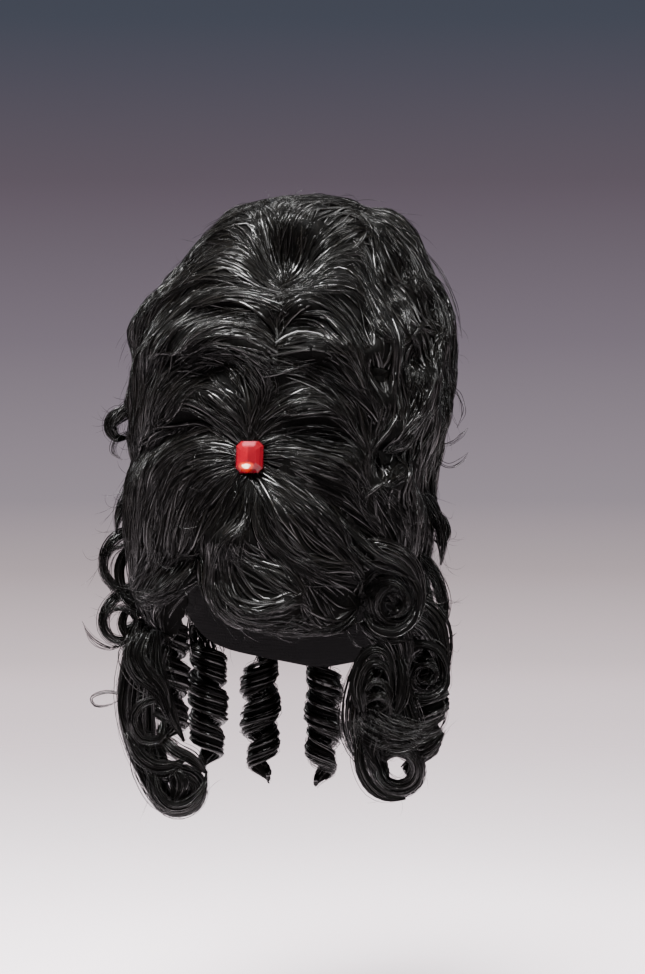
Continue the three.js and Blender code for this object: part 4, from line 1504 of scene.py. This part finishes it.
# Bunches that hang free: strands, spread, depth in front of the crown and core in mm, line in pixels
freeBunches = {
    "smallLoop": (
        9, 0.8, 4, 0,
        ((126, 696), (110, 692), (97, 694), (91, 699), (96, 706), (109, 705), (124, 698)),
    ),
    "flickLeft": (7, 0.9, 2, 0, ((124, 644), (112, 647), (98, 641), (88, 632), (82, 621))),
    "flickLeftLow": (5, 0.9, 2, 0, ((126, 640), (112, 648), (100, 646), (90, 638), (84, 628))),
    "upperRingFill": (16, 2.4, 4, 3.5, ((138, 544), (124, 554), (119, 571), (123, 590), (138, 602))),
    "upperRingCross": (6, 1.8, 6, 0, ((128, 546), (114, 556), (110, 574), (116, 594), (130, 604))),
    "ringsBetween": (16, 2.8, 6, 4, ((118, 590), (128, 600), (142, 608), (158, 616))),
    "lowerRingFill": (14, 2.2, 4, 3, ((138, 604), (127, 610), (122, 624), (128, 637), (140, 642))),
    "lowerRingCross": (6, 1.6, 6, 0, ((130, 602), (114, 606), (108, 622), (114, 638), (128, 644))),
    "hangWave": (34, 3.6, 48, 3.2, ((134, 636), (128, 656), (137, 676), (153, 690), (162, 708))),
    "hangWaveInner": (36, 4.0, 50, 4, ((146, 632), (138, 654), (148, 674), (162, 690), (170, 714))),
    "hangInner": (34, 4.2, 44, 4, ((158, 630), (156, 660), (163, 690), (172, 716), (184, 742))),
    "hangEdge": (20, 2.2, 30, 2.4, ((128, 650), (123, 682), (121, 710), (128, 738), (142, 758))),
    "hangSwirl": (
        26, 2.6, 46, 1.6,
        ((160, 698), (142, 704), (133, 720), (142, 738), (160, 738), (164, 722), (152, 714)),
    ),
    "hangLow": (34, 4.0, 44, 3.6, ((128, 732), (138, 754), (154, 766), (172, 766), (188, 758))),
    "hangLowEdge": (22, 2.6, 36, 2.4, ((134, 748), (140, 770), (150, 790), (164, 806), (182, 812))),
    "hangLowInner": (34, 4.0, 42, 4, ((158, 736), (174, 750), (192, 760), (207, 774))),
    "bottomCurl": (30, 3.4, 43, 3, ((152, 770), (157, 794), (172, 807), (190, 804), (203, 790), (206, 774))),
    "bottomFill": (30, 3.0, 40, 6, ((168, 764), (176, 776), (178, 788), (172, 802))),
    "hangGap": (24, 3.0, 38, 5, ((156, 736), (158, 752), (163, 768), (172, 778))),
    "edgeCurlRight": (16, 1.6, -14, 2, ((432, 508), (443, 518), (448, 532), (442, 544), (434, 540))),
    "edgeCurlLeft": (28, 2.6, -2, 4, ((130, 410), (116, 414), (110, 425), (115, 437), (127, 438))),
    "edgeCurlLeftLow": (10, 1.4, -2, 0, ((128, 432), (116, 440), (113, 452), (122, 460))),
    "prongUpper": (7, 0.9, 64, 0, ((396, 722), (420, 730), (438, 722), (445, 708), (443, 699))),
    "prongLower": (7, 0.9, 64, 0, ((396, 728), (422, 735), (440, 730), (447, 716), (447, 703))),
    "prongFan": (34, 4.6, 66, 0, ((358, 714), (374, 727), (402, 737), (438, 729))),
    "prongFanUpper": (26, 3.6, 66, 0, ((372, 704), (388, 719), (410, 729), (438, 722))),
    "barrelOuter": (
        16, 1.8, 72, 3,
        ((357, 708), (353, 684), (360, 660), (374, 649), (388, 656), (395, 680)),
    ),
    "barrelMiddle": (
        14, 1.8, 74, 3,
        ((362, 712), (358, 690), (364, 670), (376, 662), (387, 670), (392, 692)),
    ),
    "barrelInner": (
        12, 1.4, 76, 0,
        ((366, 706), (364, 692), (371, 682), (381, 682), (390, 692), (388, 706), (378, 713)),
    ),
    "outerRingTop": (
        14, 1.8, 46, 3,
        ((396, 664), (404, 650), (420, 644), (438, 650), (447, 668), (443, 688)),
    ),
    "outerRingLow": (14, 1.8, 46, 3, ((448, 664), (446, 686), (430, 698), (412, 696), (404, 682))),
    "betweenUpper": (22, 3.4, 70, 3, ((360, 620), (372, 632), (390, 640), (412, 640))),
    "betweenLower": (20, 3.4, 66, 3, ((396, 650), (402, 672), (400, 698), (392, 722))),
    "templeRoot": (26, 3.4, 96, 2, ((338, 520), (356, 538), (378, 556), (398, 566), (416, 580))),
    "templeTop": (16, 2.0, 82, 3, ((362, 586), (372, 572), (390, 567), (408, 574), (420, 594), (416, 616))),
    "templeSwirl": (
        14, 1.8, 82, 0,
        ((372, 614), (370, 598), (380, 584), (396, 584), (406, 598), (400, 614), (386, 618)),
    ),
    "templeLower": (14, 2.0, 80, 3, ((420, 602), (412, 622), (394, 633), (374, 628), (364, 612))),
    "lowRingLeft": (
        30, 3.0, 58, 3.5,
        ((366, 722), (359, 744), (360, 766), (369, 786), (386, 798), (406, 799)),
    ),
    "lowRingTop": (14, 1.6, 60, 0, ((366, 760), (378, 746), (396, 742), (414, 748), (424, 764))),
    "lowMass": (30, 4.4, 62, 4, ((384, 706), (376, 724), (370, 744), (374, 764))),
    "thinLoop": (9, 1.3, 26, 0, ((426, 566), (440, 578), (448, 600), (444, 622), (432, 636))),
    "thinLoopInner": (6, 1.4, 24, 0, ((424, 572), (434, 586), (438, 604), (434, 622))),
    "smallFlick": (5, 0.6, 24, 0, ((430, 630), (440, 638), (449, 638), (457, 633))),
    "innerFine": (3, 0.6, 66, 0, ((354, 722), (350, 732), (346, 740), (344, 745))),
    "innerFineUpper": (3, 0.8, 74, 0, ((346, 628), (350, 638), (356, 646), (364, 650))),
    "edgeLoose": (4, 0.8, -14, 0, ((424, 250), (438, 268), (450, 290), (458, 314), (462, 338))),
    "edgeLooseLow": (4, 0.8, -10, 0, ((452, 386), (460, 398), (463, 412), (457, 428))),
    "edgeFlick": (5, 1.0, -8, 0, ((440, 446), (452, 444), (462, 436), (468, 428))),
    "edgeFlickLow": (5, 1.2, -8, 0, ((436, 458), (448, 464), (460, 460), (468, 452))),
}
bunchSettings = {
    "steps": 15,
    "thin": 0.12 * mm,
    "thick": 0.27 * mm,
    "opening": {"start": 0.6, "full": 0.3, "fades": 0.6, "end": 0.2},
    "rootLift": 0.06,
    "liftPower": 0.5,
    "ripple": 0.22 * mm,
    "rippleRates": (6, 18),
    "rippleTurn": 1.6,
    "rippleShift": 1,
    "edgeOn": 0.34,
    "jump": 7 * mm,
    "shortest": 6,
    "freeDeep": 4,
    "freeDeepPerCore": 2.4,
    "coreSides": 8,
    "coreFlat": 0.6,
    "coreBehind": 0.6,
    "corePart": (0.03, 0.97),
    "corePower": 0.7,
    # The dark discs of painted shade in the hollows
    "hollowFlat": 0.3,
    "hollowLift": 1.6 * mm,
    "hollowLength": 18,
    "hollowSlant": 0.5,
    "hollowPart": (0.02, 0.98),
    "hollowPower": 0.8,
}


# Places and facing of the body behind pixels of the picture
def behindPixels(pixels):
    found = []
    for target in fromPixels(pixels, 0):
        way = Vector(target - cameraPlace).normalized()
        hit = bodyTree.ray_cast(Vector(cameraPlace), way)
        if hit[0] is None:
            hit = bodyTree.find_nearest(Vector(target))
        found.append((hit[0], hit[1]))
    return np.array([hit[0] for hit in found]), np.array([hit[1] for hit in found])


# The longest run of a line that lies on one fold of the body and faces the picture, or nothing if short
def seenRun(middle, facing):
    seen = facing @ pictureBack > bunchSettings["edgeOn"]
    leap = np.linalg.norm(np.diff(middle, axis=0, prepend=middle[:1]), axis=-1) > bunchSettings["jump"]
    run, longest = [], []
    for i in range(len(middle)):
        run = [*run, i] if run and not leap[i] else [i]
        run = run if seen[i] else []
        longest = max(longest, run, key=len)
    if len(longest) < bunchSettings["shortest"]:
        return None
    at = np.linspace(longest[0], longest[-1], len(middle))
    index = np.arange(len(middle))
    return [np.stack([np.interp(at, index, column) for column in rows.T], -1) for rows in (middle, facing)]


# Strands of a bunch round its middle line, closing toward the tip
def bunchStrands(middle, facing, count, spread, lift):
    settings = bunchSettings
    share = np.linspace(0, 1, settings["steps"])
    across = unit(np.cross(facing, directions(middle)))
    ripple = drawnRipples(share, settings["rippleRates"], (count, 1))
    aside = dice.normal(0, spread * mm, (count, 1)) * swelling(share, settings["opening"])
    aside = aside + settings["ripple"] * np.sin(ripple)
    over = arch(np.clip(share, settings["rootLift"], 1), 0, settings["liftPower"])
    raised = dice.uniform(0, lift * mm, (count, 1)) * over
    upDown = np.sin(settings["rippleTurn"] * ripple + settings["rippleShift"])
    raised = raised + settings["ripple"] * upDown
    return drawnStrands(middle + across * aside[..., None] + facing * raised[..., None], settings)


# A dark core along a bunch's middle line, or a dark disc of painted shade in a hollow
def bunchCore(middle, facing, lift, half, flat):
    across = unit(np.cross(facing, directions(middle)))
    lifted = middle + facing * lift
    sizes = (half[None], half[None] * flat, bunchSettings["coreSides"])
    return tubes(lifted[None], across[None], facing[None], *sizes, np.zeros(1))


# A bunch laid on the body where its line is seen
def layBunch(line, count, spread, lift):
    run = seenRun(*behindPixels(line))
    return [bunchStrands(*run, count, spread, lift)] if run else []


# Waving bunches down the outer side of the curly column, clear of the hollows
def columnBunches():
    curls = columnCurls
    down = np.linspace(0, curls["length"], bunchSettings["steps"])[:, None]
    hollows = np.array([spot for halfWidth, spot in shadedHollows.values()])
    low = (curls["bunchesFrom"], curls["top"])
    high = (curls["right"], curls["bottom"] - curls["length"])
    made = []
    for start in dice.uniform(low, high, (curls["bunches"], 2)):
        line = start + down * np.array((dice.normal(0, curls["lean"]), 1))
        line[:, 0] += curls["swing"] * np.sin(curlTurn(line) + dice.normal(0, curls["shift"]))
        if np.linalg.norm(line[:, None] - hollows[None], axis=-1).min() >= curls["clear"]:
            made += layBunch(line, curls["strands"], curls["spread"], curls["lift"])
    return made


# Dark discs of painted shade laid over the hollows between the curls
def paintedHollowShade():
    settings = bunchSettings
    down = np.linspace(-0.5, 0.5, settings["steps"])[:, None] * settings["hollowLength"]
    swell = arch(np.linspace(*settings["hollowPart"], settings["steps"]), 0, settings["hollowPower"])
    made = []
    for halfWidth, spot in shadedHollows.values():
        middle, facing = behindPixels(np.array(spot) + down * np.array((settings["hollowSlant"], 1)))
        half = halfWidth * mm * swell
        made.append(bunchCore(middle, facing, settings["hollowLift"], half, settings["hollowFlat"]))
    return made


# Bunches that hang free, and the cores of the fuller ones
def hangingBunches():
    settings = bunchSettings
    swell = arch(np.linspace(*settings["corePart"], settings["steps"]), 0, settings["corePower"])
    free, cores = [], []
    for count, spread, depth, core, line in freeBunches.values():
        middle = fromPixels(curveThrough(line, settings["steps"]), depth)
        toward = np.broadcast_to(pictureBack, middle.shape)
        deep = settings["freeDeep"] + settings["freeDeepPerCore"] * core
        free.append(bunchStrands(middle - toward * 0.5 * deep * mm, toward, count, spread, deep))
        if core > 0:
            lift = -settings["coreBehind"] * core * mm
            cores.append(bunchCore(middle, toward, lift, core * mm * swell, settings["coreFlat"]))
    return free, cores


laid = []
for count, spread, lift, line in laidBunches.values():
    laid += layBunch(curveThrough(line, bunchSettings["steps"]), count, spread, lift)
laid += columnBunches()
free, cores = hangingBunches()
looseBunches = [
    meshFromTubes("laid_bunches", laid, blackHair),
    meshFromTubes("free_bunches", free, blackHair),
    # Cores of the fuller hanging bunches, and dark discs of painted shade in the hollows
    meshFromTubes("bunch_cores_and_hollow_shade", [*paintedHollowShade(), *cores], mattedHair),
]
print("bunches,", len(laidBunches) + len(freeBunches))

# Light, floor and surroundings
studioLights = {
    "key": {"azimuth": 0, "elevation": 56, "distance": 1.6, "size": 0.6, "power": 265},
    "fillRight": {"azimuth": 56, "elevation": 36, "distance": 1.8, "size": 0.6, "power": 56},
    "fillLeft": {"azimuth": -52, "elevation": 58, "distance": 1.7, "size": 0.5, "power": 80},
    "front": {"azimuth": 24, "elevation": 14, "distance": 1.7, "size": 0.4, "power": 26},
    "top": {"azimuth": -170, "elevation": 66, "distance": 1.3, "size": 0.6, "power": 20},
    "rimRight": {"azimuth": 120, "elevation": 25, "distance": 1.5, "size": 0.5, "power": 12},
    "rimLeft": {"azimuth": -115, "elevation": 22, "distance": 1.5, "size": 0.5, "power": 12},
}


def makeLights():
    for name, row in studioLights.items():
        data = bpy.data.lights.new(name + "_light", "AREA")
        data.size = row["size"]
        data.energy = row["power"]
        light = bpy.data.objects.new(name + "_light", data)
        way = Vector(vectorAt(row["azimuth"], row["elevation"]))
        light.location = way * row["distance"]
        light.rotation_euler = way.to_track_quat("Z", "Y").to_euler()
        bpy.context.scene.collection.objects.link(light)


surroundings = {
    "steepness": 1.4,
    "stops": (
        (0.08, (0.30, 0.28, 0.30)),
        (0.24, (1.60, 1.36, 1.43)),
        (0.316, (2.20, 1.82, 1.92)),
        (0.356, (1.42, 1.18, 1.25)),
        (0.387, (0.95, 0.79, 0.83)),
        (0.433, (0.54, 0.45, 0.475)),
        (0.469, (0.348, 0.298, 0.340)),
        (0.551, (0.212, 0.178, 0.216)),
        (0.633, (0.125, 0.10, 0.127)),
        (0.713, (0.065, 0.072, 0.098)),
        (0.92, (0.04, 0.042, 0.05)),
    ),
    "strength": 1.0,
}


# Surroundings that pass from pale below to slate above
def makeWorld():
    finish = Finish(bpy.data.worlds.new("studio"))
    way = finish.node("ShaderNodeTexCoord")
    height = finish.node("ShaderNodeSeparateXYZ", None, {0: way}, 2)
    tone = finish.node("ShaderNodeValToRGB", None, {0: height * surroundings["steepness"] + 0.5})
    stops = tone.socket.node.color_ramp.elements
    for position, colour in surroundings["stops"][2:]:
        stops.new(position)
    for stop, (position, colour) in zip(stops, surroundings["stops"]):
        stop.position = position
        stop.color = (*colour, 1)
    sky = finish.node("ShaderNodeBackground", None, {0: tone, "Strength": surroundings["strength"]})
    finish.node("ShaderNodeOutputWorld", None, {"Surface": sky})
    bpy.context.scene.world = finish.holder


floorSettings = {
    "z": -0.42,
    "size": 8.0,
    "pale": (0.58, 0.51, 0.54),
    "paler": (0.61, 0.54, 0.57),
    "cloud": 2,
    "roughness": 0.7,
    "fadeFrom": 0.5,
    "fadeTo": 3.2,
}


# A pale floor that fades into the surroundings
def makeFloor():
    bpy.ops.object.select_all(action="DESELECT")
    bpy.ops.mesh.primitive_plane_add(size=floorSettings["size"], location=(0, 0, floorSettings["z"]))
    floor = bpy.context.active_object
    floor.name = "floor"
    finish = Finish(bpy.data.materials.new("pale_floor"))
    place = finish.place()
    cloud = finish.noise(place, floorSettings["cloud"])
    tone = finish.mix(cloud, floorSettings["pale"], floorSettings["paler"])
    sockets = {"Base Color": tone, "Roughness": floorSettings["roughness"]}
    solid = finish.node("ShaderNodeBsdfPrincipled", None, sockets)
    clear = finish.node("ShaderNodeBsdfTransparent")
    far = finish.node("ShaderNodeVectorMath", {"operation": "LENGTH"}, {0: place}, 1)
    fade = finish.between(far, floorSettings["fadeFrom"], floorSettings["fadeTo"])
    both = finish.node("ShaderNodeMixShader", None, {0: fade, 1: solid, 2: clear})
    finish.node("ShaderNodeOutputMaterial", None, {"Surface": both})
    floor.data.materials.append(finish.holder)
    floor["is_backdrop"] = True


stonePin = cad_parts["stone_pin"]
setFinish(stonePin, makePinFinish())
for piece in [hiveBody, *combedHair, *looseBunches, lockFrizz, *lockPieces.values()]:
    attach(piece, "root")
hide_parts(*bodySettings["nodes"])
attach(stretchCap, "root")
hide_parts("cap")
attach(cutStone, "root")
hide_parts("stone")
for name, piece in lockPieces.items():
    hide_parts(name)
makeLights()
makeWorld()
makeFloor()
makeCamera()

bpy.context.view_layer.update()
total = sum(len(face.vertices) - 2 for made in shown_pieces() for face in made.data.polygons)
print("triangles in all,", total)
